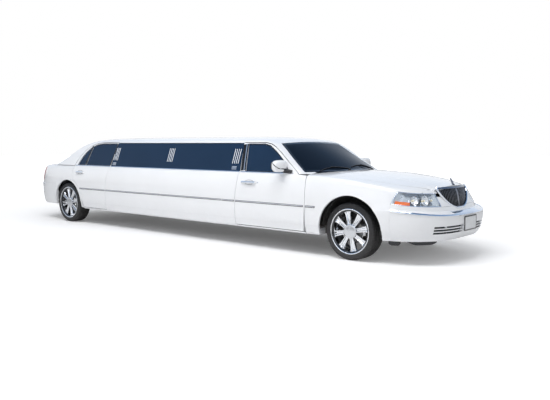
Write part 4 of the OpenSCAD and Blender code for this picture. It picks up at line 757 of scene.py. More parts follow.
def corner_normal(front, row, a, sy, depth=0.0):
    p = corner_at(front, row, a, sy, depth)
    u = corner_at(front, row, min(a + 0.02, math.pi / 2), sy, depth) - corner_at(
        front, row, max(a - 0.02, 0.0), sy, depth)
    v = corner_at(front, row + 6, a, sy, depth) - corner_at(front, row - 6, a, sy, depth)
    n = u.cross(v).normalized()
    return n if n.dot(p - Vector((0, 0, 0.6))) > 0 else -n


# ---------------------------------------------------------------- headlamps
def lamp_grid(rows, s, y_in, slant, x_rear, depth, steps, front=True, grow=0.0):
    out = []
    for row in rows:
        side_x = x_rear + slant * (row - rows[0])
        a0, a1 = corner_span(front, row, y_in, side_x, depth)
        out.append([corner_at(front, row, a0 + (a1 - a0) * i / steps, s, depth)
                    for i in range(steps + 1)])
    return out


LAMP_ROWS = [735, 748, 770, 790, 810, 830, 850, 870, 890, 910, 925, 940, 952, 962]
head_shell, head_inner = [], []
for side, s in SIDES:
    # the lens is a thin shell, the bucket behind it a second one
    outer = lamp_grid(LAMP_ROWS, s, 425, 0.19, 3700, 0.0, 30)
    inner = lamp_grid(LAMP_ROWS, s, 425, 0.19, 3700, 4.0, 30)
    m = Mesh()
    m.slab(outer, inner)
    lens = m.done("%s_headlamp_lens" % side, CLEAR_LENS, "car_body", 40, "lamp_lens")
    head_shell.append(lens)
    m = Mesh()
    deep = []
    for i, row in enumerate(LAMP_ROWS):
        side_x = 3700 + 0.19 * (row - 735)
        v = i / (len(LAMP_ROWS) - 1)
        line = []
        for j in range(31):
            u = j / 30
            dd = 8 + 62 * min(1, 6 * min(v, 1 - v)) * min(1, 7 * min(u, 1 - u))
            a0, a1 = corner_span(True, row, 427, side_x + 2, dd)
            line.append(corner_at(True, row, a0 + (a1 - a0) * u, s, dd))
        deep.append(line)
    back_rows = [[p + (Vector((3.2, 0, 0.7)) - p).normalized() * 0.006 for p in line] for line in deep]
    m.slab(deep, back_rows)
    head_inner.append(m.done("%s_headlamp_bucket" % side, LAMP_GREY, "car_body", 30, "lamp_lens"))
    # reflectors: a large dipped bowl, a main bowl and a small indicator
    m = Mesh()
    bulbs = Mesh()
    for row, frac, r in ((842, 0.30, 0.062), (838, 0.56, 0.052), (848, 0.10, 0.040)):
        a0, a1 = corner_span(True, row, 427, 3720, 16)
        a = a0 + (a1 - a0) * frac
        p = corner_at(True, row, a, s, 16)
        n = corner_normal(True, row, a, s)
        n = (n * 0.55 + Vector((0.85, 0, -0.02)) * 0.6).normalized()
        p = p - n * 0.012
        m.revolve([(-0.004, r), (0.0, r * 1.02), (-0.002, r * 0.96), (-0.016, r * 0.80),
                   (-0.030, r * 0.55), (-0.036, r * 0.3), (-0.036, 0.0001)], p, n, 40)
        bulbs.revolve([(-0.034, 0.011), (-0.012, 0.011), (-0.004, 0.0075), (-0.001, 0.00001)], p, n, 20)
    m.done("%s_headlamp_reflectors" % side, REFLECTOR, "car_body", 30, "chrome")
    bulbs.done("%s_headlamp_bulbs" % side, BRASS, "car_body", 30, "lamp_lens")
    # side marker across the lower rear of the lamp
    m = Mesh()
    rows_m = [743, 755, 780, 800]
    g0, g1 = [], []
    for row in rows_m:
        aa, ab = corner_span(True, row, 430, 3712 + 0.19 * (row - 735), 5)
        k0 = aa + (ab - aa) * 0.68
        k1 = aa + (ab - aa) * 0.965
        g0.append([corner_at(True, row, k0 + (k1 - k0) * i / 12, s, 4.2) for i in range(13)])
        g1.append([corner_at(True, row, k0 + (k1 - k0) * i / 12, s, 10) for i in range(13)])
    m.slab(g0, g1)
    m.done("%s_headlamp_marker" % side, AMBER, "car_body", 30, "tail_lens")
    # bright outline around the lens
    m = Mesh()
    loop = []
    for i in range(31):
        a0, a1 = corner_span(True, 735, 425, 3700, 0)
        loop.append((735, a0 + (a1 - a0) * i / 30))
    for row in LAMP_ROWS[1:]:
        a0, a1 = corner_span(True, row, 425, 3700 + 0.19 * (row - 735), 0)
        loop.append((row, a1))
    for i in range(30, -1, -1):
        a0, a1 = corner_span(True, 962, 425, 3700 + 0.19 * (962 - 735), 0)
        loop.append((962, a0 + (a1 - a0) * i / 30))
    for row in reversed(LAMP_ROWS[1:-1]):
        a0, a1 = corner_span(True, row, 425, 3700 + 0.19 * (row - 735), 0)
        loop.append((row, a0))
    mid = (848, 0.5)
    hits = []
    for row, a in loop:
        a_mid = 0.5 * sum(corner_span(True, row, 425, 3720, 0))
        row2 = row + (5 if row < 848 else -5) * (1 if row in (735, 962) else 0.2)
        a2 = a + (0.006 if a < a_mid else -0.006)
        hits.append((corner_at(True, row2, a2, s, 0), corner_normal(True, row2, a2, s)))
    m.ribbon(hits, 0.009, 0.0022, 0.003, closed=True)
    m.done("%s_headlamp_rim" % side, CHROME, "car_body", 40, "chrome")
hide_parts("headlamps")

# ---------------------------------------------------------------- tail lamps
TAIL_ROWS = [661, 690, 720, 760, 800, 840, 880, 910, 940, 962, 982]
for side, s in SIDES:
    def tail_row(depth, row, steps=20, f0=0.0, f1=1.0, inset=0.0):
        a0, a1 = corner_span(False, row, 542 + inset, -3863 - inset, depth)
        return [corner_at(False, row, a0 + (a1 - a0) * (f0 + (f1 - f0) * i / steps), s, depth)
                for i in range(steps + 1)]
    m = Mesh()
    m.slab([tail_row(0, r) for r in TAIL_ROWS], [tail_row(5, r) for r in TAIL_ROWS])
    m.done("%s_tail_lamp_lens" % side, RED_LENS, "car_body", 40, "tail_lens")
    m = Mesh()
    m.slab([tail_row(26, r, inset=2) for r in TAIL_ROWS], [tail_row(40, r, inset=2) for r in TAIL_ROWS])
    m.done("%s_tail_lamp_bucket" % side, LAMP_GREY, "car_body", 40, "lamp_lens")
    m = Mesh()
    for k in range(9):
        r0 = 676 + k * 34
        m.slab([tail_row(8, r, inset=5) for r in (r0, r0 + 3)],
               [tail_row(24, r, inset=5) for r in (r0, r0 + 3)])
    m.done("%s_tail_lamp_fins" % side, RED_LENS, "car_body", 40, "tail_lens")
    # white reversing lens band
    m = Mesh()
    rr2 = (800, 815, 830, 842)
    m.slab([tail_row(-0.6, r, f0=0.02, f1=0.45) for r in rr2],
           [tail_row(4.5, r, f0=0.02, f1=0.45) for r in rr2])
    m.done("%s_reversing_lens" % side, LAMP_WHITE, "car_body", 40, "lamp_lens")
    # chrome surround
    m = Mesh()
    hits = []
    a_lo, a_hi = corner_span(False, 661, 542, -3863, 0)
    for i in range(21):
        hits.append((663, a_lo + (a_hi - a_lo) * i / 20))
    for r in TAIL_ROWS[1:-1]:
        hits.append((r, corner_span(False, r, 542, -3863, 0)[1] - 0.004))
    a_lo, a_hi = corner_span(False, 982, 542, -3863, 0)
    for i in range(20, -1, -1):
        hits.append((979, a_lo + (a_hi - a_lo) * i / 20))
    for r in reversed(TAIL_ROWS[1:-1]):
        hits.append((r, corner_span(False, r, 542, -3863, 0)[0] + 0.004))
    m.ribbon([(corner_at(False, r, a, s, 0), corner_normal(False, r, a, s)) for r, a in hits],
             0.010, 0.0025, 0.003, closed=True)
    m.done("%s_tail_lamp_rim" % side, CHROME, "car_body", 40, "chrome")
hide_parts("tail_lamps")

# ---------------------------------------------------------------- bumpers
for front in (True, False):
    name = "front" if front else "rear"
    m = Mesh()
    hits = []
    row = 624 if front else 628
    end_x = 3705 if front else -3666
    lim = 118 if front else 0
    for s in (-1, 1):
        a0, a1 = corner_span(front, row, 1.0 if not front else 2.0, end_x, 0)
        part = [(corner_at(front, row, a0 + (a1 - a0) * i / 60, s, 0),
                 corner_normal(front, row, max(a0 + (a1 - a0) * i / 60, 0.03), s)) for i in range(61)]
        hits = (list(reversed(part)) if s < 0 else hits + part[1:]) if s < 0 or not hits else hits + part[1:]
    m.ribbon(hits, 0.026, 0.006, 0.004)
    m.done("%s_bumper_bright_strip" % name, CHROME, "car_body", 40, "chrome")
    # dark body behind the openings
    m = Mesh()
    if front:
        rows_b = [350, 380, 420, 480]
        g0 = [[corner_at(True, r, k / 40 * 1.25 if k >= 0 else -k / 40 * 1.25, 1 if k >= 0 else -1, 30)
               for k in range(-40, 41)] for r in rows_b]
        g1 = [[corner_at(True, r, k / 40 * 1.25 if k >= 0 else -k / 40 * 1.25, 1 if k >= 0 else -1, 36)
               for k in range(-40, 41)] for r in rows_b]
        m.slab(g0, g1)
        for s in (-1, 1):
            for yy in range(190, 660, 46):
                p0 = corner(True, 372, yy * s, 22)
                m.box(p0 + Vector((-0.012, -0.004, 0)), p0 + Vector((0.006, 0.004, 0.088)), 0.001)
        m.done("lower_grille_dark", PLASTIC, "car_body", 40, "black_plastic")

# air dam below the front bumper, with a gap in its middle
m = Mesh()
for s in (-1, 1):
    for b0, b1, low in ((0.40, 0.84, 0.236), (0.98, 1.14, 0.226)):
        rows_d = []
        for z, dd in ((0.300, 26), (0.270, 38), (low + 0.004, 60), (low, 72), (0.262, 60), (0.300, 44)):
            line = []
            for i in range(25):
                a = b0 + (b1 - b0) * i / 24
                p = corner_at(True, 300, a, s, dd)
                lift = 0.022 * (max(0, (i - 18) / 6) ** 2 + max(0, (6 - i) / 6) ** 2)
                line.append(Vector((p.x, p.y, z + lift * (1 if z < 0.29 else 0))))
            rows_d.append(line)
        m.grid([list(r) for r in zip(*rows_d)], close_v=True, caps=True)
m.done("front_air_dam", PLASTIC, "car_body", 35, "black_plastic")

# ---------------------------------------------------------------- plates
for x, z, d, name in ((4.266, 0.466, 1, "front"), (-4.266, 0.540, -1, "rear")):
    m = Mesh()
    hw, hh = 0.165, 0.0885
    ring_pts = []
    for cy, cz, a0 in ((hw - 0.008, hh - 0.008, 0), (-hw + 0.008, hh - 0.008, 90),
                       (-hw + 0.008, -hh + 0.008, 180), (hw - 0.008, -hh + 0.008, 270)):
        for k in range(5):
            t = math.radians(a0 + 90 * k / 4)
            ring_pts.append((cy + 0.008 * math.cos(t), cz + 0.008 * math.sin(t)))
    rows_p = []
    for (y, zz) in ring_pts:
        f_in = 0.905
        rows_p.append([Vector((x - d * 0.006, y, z + zz)), Vector((x - d * 0.0002, y, z + zz)),
                       Vector((x + d * 0.0010, y * 0.985, z + zz * 0.97)),
                       Vector((x + d * 0.0006, y * f_in, z + zz * 0.83)),
                       Vector((x - d * 0.006, y * f_in, z + zz * 0.83))])
    m.grid(rows_p, close_u=True, close_v=True)
    m.done("%s_plate_frame" % name, BLACK_GLOSS, "car_body", 40, "black_plastic")
    m = Mesh()
    for y in (-0.089, 0.089):
        for zz in (-0.055, 0.055):
            m.revolve([(-0.003, 0.0001), (-0.003, 0.0062), (-0.0008, 0.0062), (-0.0002, 0.004),
                       (-0.0002, 0.0018), (-0.0012, 0.0015), (-0.0012, 0.0001)],
                      (x, y, z + zz), (d, 0, 0), 6)
    m.done("%s_plate_screws" % name, CHROME_SATIN, "car_body", 30, "chrome")

# ---------------------------------------------------------------- nose panels beside the grille
GRILLE = [[640, 96], [665, 176], [700, 246], [750, 308], [800, 352], [840, 378], [872, 384], [892, 372],
          [930, 372]]
for side, s in SIDES:
    m = Mesh()
    g0, g1 = [], []
    for row in (738, 752, 770, 790, 810, 830, 850, 870, 888, 900):
        lo_y = lookup(skin_z(4100, row), GRILLE) + 3
        l0, l1 = [], []
        for k in range(9):
            y = lo_y + (421 - lo_y) * k / 8
            l0.append(corner(True, row, s * y, 1.5))
            l1.append(corner(True, row, s * y, 9))
        g0.append(l0)
        g1.append(l1)
    m.slab(g0, g1)
    m.done("%s_nose_panel" % side, PAINT, "car_body", 40, "white_paint")
    # the tail lamp's lens runs on around the corner
    m = Mesh()
    g0, g1 = [], []
    for row in (700, 730, 770, 810, 850, 890, 930, 960, 975):
        x_end = -3790 + 85 * (row - 700) / 275
        a0, a1 = corner_span(False, row, 542, -3866, 0)[1], corner_span(False, row, 542, x_end, 0)[1]
        g0.append([corner_at(False, row, a0 + (a1 - a0) * i / 10, s, -2.2 if 0 < i < 10 else -0.4)
                   for i in range(11)])
        g1.append([corner_at(False, row, a0 + (a1 - a0) * i / 10, s, 1.5) for i in range(11)])
    m.slab(g0, g1)
    m.done("%s_tail_lamp_wrap" % side, RED_LENS, "car_body", 40, "tail_lens")
# dark backing behind the grille's bars
m = Mesh()
rows_k = [(648, 90), (665, 160), (700, 230), (750, 292), (800, 336), (840, 360), (880, 364)]
g0 = [[Vector((4.010 - 0.00048 * (h * q / 8) ** 2 / 1000, h * q / 8 / 1000, z / 1000)) for q in range(-8, 9)]
      for z, h in rows_k]
g1 = [[p + Vector((-0.006, 0, 0)) for p in line] for line in g0]
m.slab(g0, g1)
m.done("grille_backing", PLASTIC, "car_body", 40, "black_plastic")
# bright lip around the grille's outline
m = Mesh()
outline = [(892, 372), (872, 384), (840, 378), (800, 352), (750, 308), (700, 246), (665, 176), (640, 96)]
gx = {892: 4066, 872: 4080, 840: 4094, 800: 4106, 750: 4117, 700: 4126, 665: 4131, 640: 4134}
right = [Vector((gx[z] - 0.00048 * h * h, -h, z)) / 1000 for z, h in outline]
left = [Vector((p.x, -p.y, p.z)) for p in reversed(right)]
path = []
for a_, b_ in zip((right + left)[:-1], (right + left)[1:]):
    path += [a_ + (b_ - a_) * k / 5 for k in range(5)]
path.append(left[-1])
m.tube(path, 0.012, 12)
m.done("grille_bright_lip", CHROME, "car_body", 50, "chrome")

# shut-line filler between hood, fender tip and lamp
for side, s in SIDES:
    m = Mesh()
    g0, g1 = [], []
    for row, inset in ((958, 3), (966, 3), (985, 3), (1000, 4), (1010, 8)):
        l0, l1 = [], []
        for k in range(13):
            y = 330 + 260 * k / 12
            l0.append(corner(True, row, s * y, inset))
            l1.append(corner(True, row, s * y, inset + 6))
        g0.append(l0)
        g1.append(l1)
    m.slab(g0, g1)
    m.done("%s_lamp_top_filler" % side, PAINT, "car_body", 50, "white_paint")
# bright apron that runs down from the grille over the bumper's step
m = Mesh()
g0, g1 = [], []
for row in (612, 618, 626, 634, 642, 652, 660):
    l0, l1 = [], []
    for k in range(-16, 17):
        y = 320 * k / 16 * (1.0 if row > 626 else 0.85)
        l0.append(corner(True, row, y if y else 0.01, -2.2))
        l1.append(corner(True, row, y if y else 0.01, 4))
    g0.append(l0)
    g1.append(l1)
m.slab(g0, g1)
m.done("grille_apron", CHROME, "car_body", 50, "chrome")

# ---------------------------------------------------------------- trim on the sides
def door(side, end):
    return "%s_%s_door" % (side, end)


def strip_on(name, nodes, path, s, width, height, mat, body, slot, step=0.04, closed=False, sink=0.0015):
    m = Mesh()
    hits = smooth_normals(side_hits(nodes, path, s, step))
    if len(hits) < 2:
        return None
    m.ribbon(hits, width, height, sink, closed)
    return m.done(name, mat, body, 40, slot)


FRONT_WINDOW = [(1.452, 1.036), (1.392, 1.391), (1.690, 1.391), (1.790, 1.368), (1.930, 1.288),
                (2.060, 1.192), (2.160, 1.105), (2.215, 1.036)]
REAR_WINDOW = [(-1.665, 1.036), (-1.612, 1.391), (-2.000, 1.391), (-2.175, 1.374), (-2.320, 1.326),
               (-2.440, 1.248), (-2.532, 1.148), (-2.596, 1.036)]


def grown(poly, d):
    cx = sum(p[0] for p in poly) / len(poly)
    cz = sum(p[1] for p in poly) / len(poly)
    n = len(poly)
    area2 = sum(poly[i][0] * poly[(i + 1) % n][1] - poly[(i + 1) % n][0] * poly[i][1] for i in range(n))
    sg = 1 if area2 > 0 else -1
    out = []
    for i in range(n):
        a, b, c = Vector(poly[i - 1]), Vector(poly[i]), Vector(poly[(i + 1) % n])
        e1, e2 = (b - a).normalized(), (c - b).normalized()
        n1, n2 = Vector((e1.y, -e1.x)) * sg, Vector((e2.y, -e2.x)) * sg
        bis = (n1 + n2).normalized()
        k = d / max(0.5, bis.dot(n1))
        out.append((b.x + bis.x * k, b.y + bis.y * k))
    return out


for side, s in SIDES:
    fd, rd = door(side, "front"), door(side, "rear")
    # bright belt strip under the glass
    for name, nodes, x0, x1, body in (
            ("side", ["side_panels"], -1.628, 1.340, "car_body"), ("front_door", [fd], 1.362, 2.300, fd),
            ("rear_door", [rd], -2.660, -1.648, rd)):
        strip_on("%s_%s_belt_strip" % (side, name), nodes, [(x0, 1.018), (x1, 1.018)], s, 0.017, 0.005,
                 CHROME, body, "chrome")
    # side molding: a dark base with a bright insert, broken where the panels are joined
    for k, (nodes, x0, x1, body) in enumerate((
            (["side_panels"], -1.700, -1.276, "car_body"), (["side_panels"], -1.260, -0.290, "car_body"),
            (["side_panels"], -0.274, 1.042, "car_body"), (["side_panels"], 1.058, 1.292, "car_body"),
            ([fd], 1.318, 2.498, fd), (["fenders", "side_panels"], 2.528, 2.681, "car_body"),
            ([rd], -2.470, -1.722, rd))):
        strip_on("%s_molding_base_%d" % (side, k), nodes, [(x0, 0.621), (x1, 0.621)], s, 0.023, 0.004,
                 BLACK_GLOSS, body, "black_plastic", step=0.08)
        strip_on("%s_molding_insert_%d" % (side, k), nodes, [(x0 + 0.004, 0.6225), (x1 - 0.004, 0.6225)],
                 s, 0.012, 0.0058, CHROME, body, "chrome", step=0.08)
        # lower crease line of the cladding
        strip_on("%s_lower_crease_%d" % (side, k), nodes, [(x0, 0.386), (x1, 0.386)], s, 0.010, 0.0022,
                 PAINT, body, "white_paint", step=0.08)
    # black line above the long glass and around the door windows
    strip_on("%s_glass_top_line" % side, ["side_windows", "side_panels"],
             [(-1.634, 1.4075), (1.346, 1.4075)], s, 0.009, 0.003, BLACK_GLOSS, "car_body",
             "black_plastic", step=0.1)
    for nm, node, poly in (("front", fd, FRONT_WINDOW), ("rear", rd, REAR_WINDOW)):
        ring = grown(poly, 0.006)
        ring = ring + [ring[0]]
        strip_on("%s_%s_window_seal" % (side, nm), [node], ring[:-1] + [ring[0]], s, 0.012, 0.0022,
                 BLACK_GLOSS, node, "black_plastic", step=0.02)
    # dark covers on the window uprights
    strip_on("%s_front_pillar_cover" % side, [fd], [(1.402, 1.037), (1.3475, 1.394)], s, 0.090, 0.0015,
             PILLAR_BLACK, fd, "black_plastic", step=0.03)
    strip_on("%s_rear_pillar_cover" % side, [rd], [(-1.651, 1.037), (-1.600, 1.394)], s, 0.026, 0.0015,
             PILLAR_BLACK, rd, "black_plastic", step=0.03)
    strip_on("%s_quarter_bar_cover" % side, [rd], [(-2.3755, 1.038), (-2.289, 1.390)], s, 0.031, 0.0015,
             PILLAR_BLACK, rd, "black_plastic", step=0.03)
    # upright bright line at the front door's rear edge
    strip_on("%s_pillar_line" % side, [fd], [(1.362, 1.394), (1.418, 1.034)], s, 0.011, 0.0045, CHROME,
             fd, "chrome", step=0.03)
    # lamp strips on the glass pillars, with small bars at two of them
    m = Mesh()
    m2 = Mesh()
    for k, xc in enumerate((-1.548, -0.170, 1.222)):
        for q in (-1.5, -0.5, 0.5, 1.5):
            hits = smooth_normals(side_hits(["side_windows"], [(xc + q * 0.036, 1.126),
                                                              (xc + q * 0.036, 1.327)], s, 0.03))
            if len(hits) > 1:
                m.ribbon(hits, 0.0075, 0.0030, 0.001)
        if k != 1:
            for q in range(3):
                z = 1.052 + q * 0.017
                hits = side_hits(["side_windows"], [(xc - 0.045, z), (xc + 0.045, z)], s, 0.03)
                if len(hits) > 1:
                    m2.ribbon(hits, 0.009, 0.003, 0.001)
    m.done("%s_pillar_lamp_strips" % side, LIGHT_BAR, "car_body", 30, "lamp_lens")
    m2.done("%s_pillar_bars" % side, CHROME, "car_body", 30, "chrome")
    # door handles: bright grips with end caps, finger wells and locks
    for node, x0, x1, z, lock in ((fd, 1.433, 1.690, 0.884, 1.715), (rd, -2.570, -2.358, 0.904, None)):
        m = Mesh()
        hits = smooth_normals(side_hits([node], [(x0 + 0.004, z), (x1 - 0.004, z)], s, 0.02))
        m.ribbon(hits, 0.029, 0.004, 0.010)
        m.done("%s_handle_grip" % node, CHROME, node, 35, "chrome")
        m = Mesh()
        cx = (x0 + x1) / 2
        pts = [(cx + 0.085 * math.cos(t), z + 0.030 * math.sin(t)) for t in
               [2 * math.pi * k / 28 for k in range(28)]]
        ring = []
        for x, zz in pts:
            for zshift in (0,):
                h = cast([node], (x, s * 2.0, zz), (0, -s, 0))
                if h and abs(h[0].y) < 0.985:
                    ring.append((h[0], h[1]))
        if len(ring) > 8:
            m.ribbon(ring, 0.004, 0.0012, 0.001, closed=False)
            m.done("%s_handle_well" % node, PLASTIC, node, 35, "black_plastic")
        if lock:
            h = cast([node], (lock, s * 2.0, z), (0, -s, 0))
            m = Mesh()
            m.revolve([(-0.002, 0.00001), (-0.002, 0.010), (0.0015, 0.010), (0.003, 0.008), (0.0035, 0.003),
                       (0.0022, 0.0025), (0.0022, 0.00001)], h[0], h[1], 24)
            m.done("%s_lock" % node, CHROME_SATIN, node, 30, "chrome")
    # mirror glass, its seal, and the dark foot
    mc = Vector((2.128, 0, 1.114))
    hit = cast([fd], (1.6, s * 1.020, 1.118), (1, 0, 0))
    xg = hit[0].x if hit else 2.068
    m, seal = Mesh(), Mesh()
    rows_g = [[], []]
    N = 40
    ring_pts = [(0.078 * math.copysign(abs(math.cos(t)) ** 0.7, math.cos(t)),
                 0.050 * math.copysign(abs(math.sin(t)) ** 0.7, math.sin(t)))
                for t in [2 * math.pi * k / N for k in range(N)]]
    base = Vector((xg - 0.002, s * 1.018, 1.118))
    m.grid([[base + Vector((0.010, y, z)) for y, z in ring_pts],
            [base + Vector((0.0, y, z)) for y, z in ring_pts],
            [base + Vector((-0.001, y * 0.93, z * 0.93)) for y, z in ring_pts],
            [base + Vector((-0.0012, y * 0.02, z * 0.02)) for y, z in ring_pts]], close_v=True, caps=True)
    m.done("%s_mirror_glass" % side, MIRROR, fd, 40, "chrome")
    rows_g = []
    for (y, z) in ring_pts:
        rows_g.append([base + Vector((0.012, y * 1.08, z * 1.10)), base + Vector((-0.002, y * 1.07, z * 1.09)),
                       base + Vector((-0.0035, y * 1.02, z * 1.03)), base + Vector((0.0, y * 0.97, z * 0.97)),
                       base + Vector((0.012, y * 0.97, z * 0.97))])
    seal.grid(rows_g, close_u=True, close_v=True)
    seal.done("%s_mirror_seal" % side, PLASTIC, fd, 40, "black_plastic")
    m = Mesh()
    y0 = s * 0.905
    m.tube([(2.158, y0 + s * 0.052, 1.066), (2.19, y0 + s * 0.035, 1.058), (2.225, y0 + s * 0.012, 1.050),
            (2.256, y0 - s * 0.004, 1.040)], [0.022, 0.0215, 0.021, 0.023], 16)
    m.done("%s_mirror_foot" % side, PLASTIC, fd, 40, "black_plastic")
    # round fuel flap on the left quarter
    if s > 0:
        ring = [(-3.36 + 0.082 * math.cos(t), 0.80 + 0.082 * math.sin(t)) for t in
                [2 * math.pi * k / 48 for k in range(49)]]
        strip_on("fuel_flap_gap", ["quarter_panels"], ring, s, 0.004, 0.0008, BLACK_GLOSS, "car_body",
                 "black_plastic", step=0.02)

# ---------------------------------------------------------------- windshield and rear glass
def drop(names, x, y, z=2.5, d=-1):
    return cast(names, (x, y, z), (0, 0, d))


def bow(mid, end, half, y):
    return mid + (end - mid) * (y / half) ** 2


def glass_border(name, node, base_mid, base_end, base_half, top_mid, top_end, top_half, sgn, width):
    m = Mesh()
    pts = []
    inset = width * 0.55
    for k in range(-24, 25):
        y = (base_half - inset) * k / 24
        pts.append((bow(base_mid, base_end, base_half, y) - sgn * inset * 1.4, y))
    side_pts = []
    for k in range(1, 16):
        u = k / 16
        yb, yt = base_half - inset, top_half - inset
        xb = bow(base_mid, base_end, base_half, yb) - sgn * inset * 1.4
        xt = bow(top_mid, top_end, top_half, yt) + sgn * inset * 1.6
        side_pts.append((xb + (xt - xb) * u, yb + (yt - yb) * u))
    top = [(bow(top_mid, top_end, top_half, (top_half - inset) * k / 24) + sgn * inset * 1.6,
            (top_half - inset) * k / 24) for k in range(24, -25, -1)]
    loop = pts + side_pts + top + [(x, -y) for x, y in reversed(side_pts)]
    hits = []
    for x, y in loop:
        h = drop([node], x, y)
        if h:
            hits.append(h)
    m.ribbon(hits, width, 0.0012, 0.0008, closed=True)
    return m.done(name, BLACK_GLOSS, "car_body", 40, "black_plastic")


glass_border("windshield_border", "windshield", 2.625, 2.412, 0.838, 1.912, 1.866, 0.655, 1, 0.030)
glass_border("rear_window_border", "rear_window", -3.245, -3.150, 0.660, -2.745, -2.800, 0.560, -1, 0.026)

# wipers: pivots at the cowl, arms and blades that lie on the glass
m = Mesh()
for px, py, bx0, by0, bx1, by1 in ((2.600, -0.10, 2.50, -0.72, 2.545, -0.15),
                                  (2.560, 0.52, 2.545, 0.02, 2.49, 0.60)):
    blade = []
    for k in range(15):
        u = k / 14
        h = drop(["windshield"], bx0 + (bx1 - bx0) * u - 0.03 * math.sin(math.pi * u), by0 + (by1 - by0) * u)
        if h:
            blade.append((h[0] + h[1] * 0.003, h[1]))
    if len(blade) > 4:
        m.ribbon(blade, 0.008, 0.010, 0.002)
        mid = blade[len(blade) // 2]
        h = drop(["windshield", "inner_panels", "hood"], px, py)
        p0 = h[0] + Vector((0, 0, 0.006)) if h else Vector((px, py, 1.06))
        m.tube([p0, p0 + Vector((-0.03, 0.02, 0.016)), (p0 + mid[0]) / 2 + Vector((0, 0, 0.02)),
                mid[0] + mid[1] * 0.016], [0.009, 0.008, 0.006, 0.005], 10)
        m.revolve([(-0.01, 0.00001), (-0.01, 0.016), (0.008, 0.015), (0.014, 0.010), (0.016, 0.00001)], p0,
                  (0, 0, 1), 20)
m.done("wipers", PLASTIC, "car_body", 35, "black_plastic")

# the drip rails along the roof's sides stay part of the roof
# ---------------------------------------------------------------- hood and trunk details
hv = [v.co for v in NODES["hood"].data.vertices if abs(v.co.y) < 0.0056 and v.co.x > 3.93 and v.co.z > 0.90]
if hv:
    top = max(hv, key=lambda c: c.z)
    base = Vector((4.034, 0, 0.905))
    tip = Vector((top.x + 0.004, 0, top.z + 0.001))
    if (tip - base).length > 0.02:
        m = Mesh()
        rows = []
        d = (tip - base).normalized()
        w = Vector((0, 1, 0))
        e = d.cross(w).normalized()
        for k in range(13):
            u = k / 12
            wid = 0.0062 + 0.001 * math.sin(math.pi * u)
            thk = 0.0085 + 0.006 * math.sin(math.pi * min(1, u * 1.1)) * (1 - u * 0.3)
            rows.append([base + (tip - base) * u + w * wid * math.cos(t) + e * thk * math.sin(t)
                         for t in [2 * math.pi * q / 20 for q in range(20)]])
        m.grid(rows, close_v=True, caps=True)
        m.revolve([(-0.008, 0.00001), (-0.008, 0.018), (0.003, 0.017), (0.008, 0.011), (0.010, 0.00001)],
                  base + Vector((0, 0, 0.006)), (0.12, 0, 1), 28)
        m.done("hood_ornament", CHROME_DARK, "hood", 35, "chrome")

# two soft creases down the hood
for s in (-1, 1):
    hits = [h for h in (drop(["hood"], 2.72 + 1.24 * k / 30, s * (0.50 - 0.13 * k / 30)) for k in range(31)) if h]
    m = Mesh()
    m.ribbon(smooth_normals(hits), 0.030, 0.0022, 0.001)
    m.done("hood_crease_%s" % ("right" if s < 0 else "left"), PAINT, "hood", 60, "white_paint")

# bright bar and lock button across the trunk lid, with a high red stop lamp
m = Mesh()
hits = [h for h in (cast(["trunk_lid"], (-6, -0.49 + 0.98 * k / 40, 0.735), (1, 0, 0)) for k in range(41)) if h]
m.ribbon(smooth_normals(hits), 0.030, 0.010, 0.002)
h = cast(["trunk_lid"], (-6, 0, 0.70), (1, 0, 0))
m.revolve([(-0.003, 0.00001), (-0.003, 0.014), (0.002, 0.014), (0.004, 0.010), (0.0045, 0.00001)], h[0],
          h[1], 24)
m.done("trunk_bright_bar", CHROME, "trunk_lid", 35, "chrome")
m = Mesh()
hits = [h for h in (drop(["trunk_lid"], -3.46, -0.17 + 0.34 * k / 20) for k in range(21)) if h]
if len(hits) > 2:
    m.ribbon(smooth_normals(hits), 0.030, 0.009, 0.002)
    m.done("high_stop_lamp", RED_LENS, "trunk_lid", 35, "tail_lens")
# exhaust tip
m = Mesh()
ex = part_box("exhaust")
tip0 = Vector((-4.06, -0.336, 0.288))
d = (Vector((-4.11, -0.35, 0.262)) - Vector((-3.78, -0.25, 0.44))).normalized()
p0 = Vector((-4.11, -0.35, 0.262)) - d * 0.10
prof = [(0.0, 0.0268), (0.004, 0.0295), (0.10, 0.0300), (0.104, 0.029), (0.104, 0.0272), (0.09, 0.0268)]
u = d.orthogonal().normalized()
w = d.cross(u)
m.grid([[p0 + d * a + (u * math.cos(t) + w * math.sin(t)) * r for a, r in prof]
        for t in [2 * math.pi * k / 40 for k in range(40)]], close_u=True, close_v=True)
m.done("exhaust_tip", CHROME_SATIN, "car_body", 35, "chrome")
# red reflectors on the rear bumper; the red lens material's faint emission makes them glow, though they are no
# lamp: a painted glow
for s in (-1, 1):
    m = Mesh()
    r0 = [[corner_at(False, r, 0.72 + 0.16 * k / 8, s, -2.0) for k in range(9)] for r in (452, 458, 472, 478)]
    r1 = [[corner_at(False, r, 0.72 + 0.16 * k / 8, s, 3.0) for k in range(9)] for r in (452, 458, 472, 478)]
    m.slab(r0, r1)
    m.done("rear_reflector_%s" % ("right" if s < 0 else "left"), RED_LENS, "car_body", 40, "tail_lens")

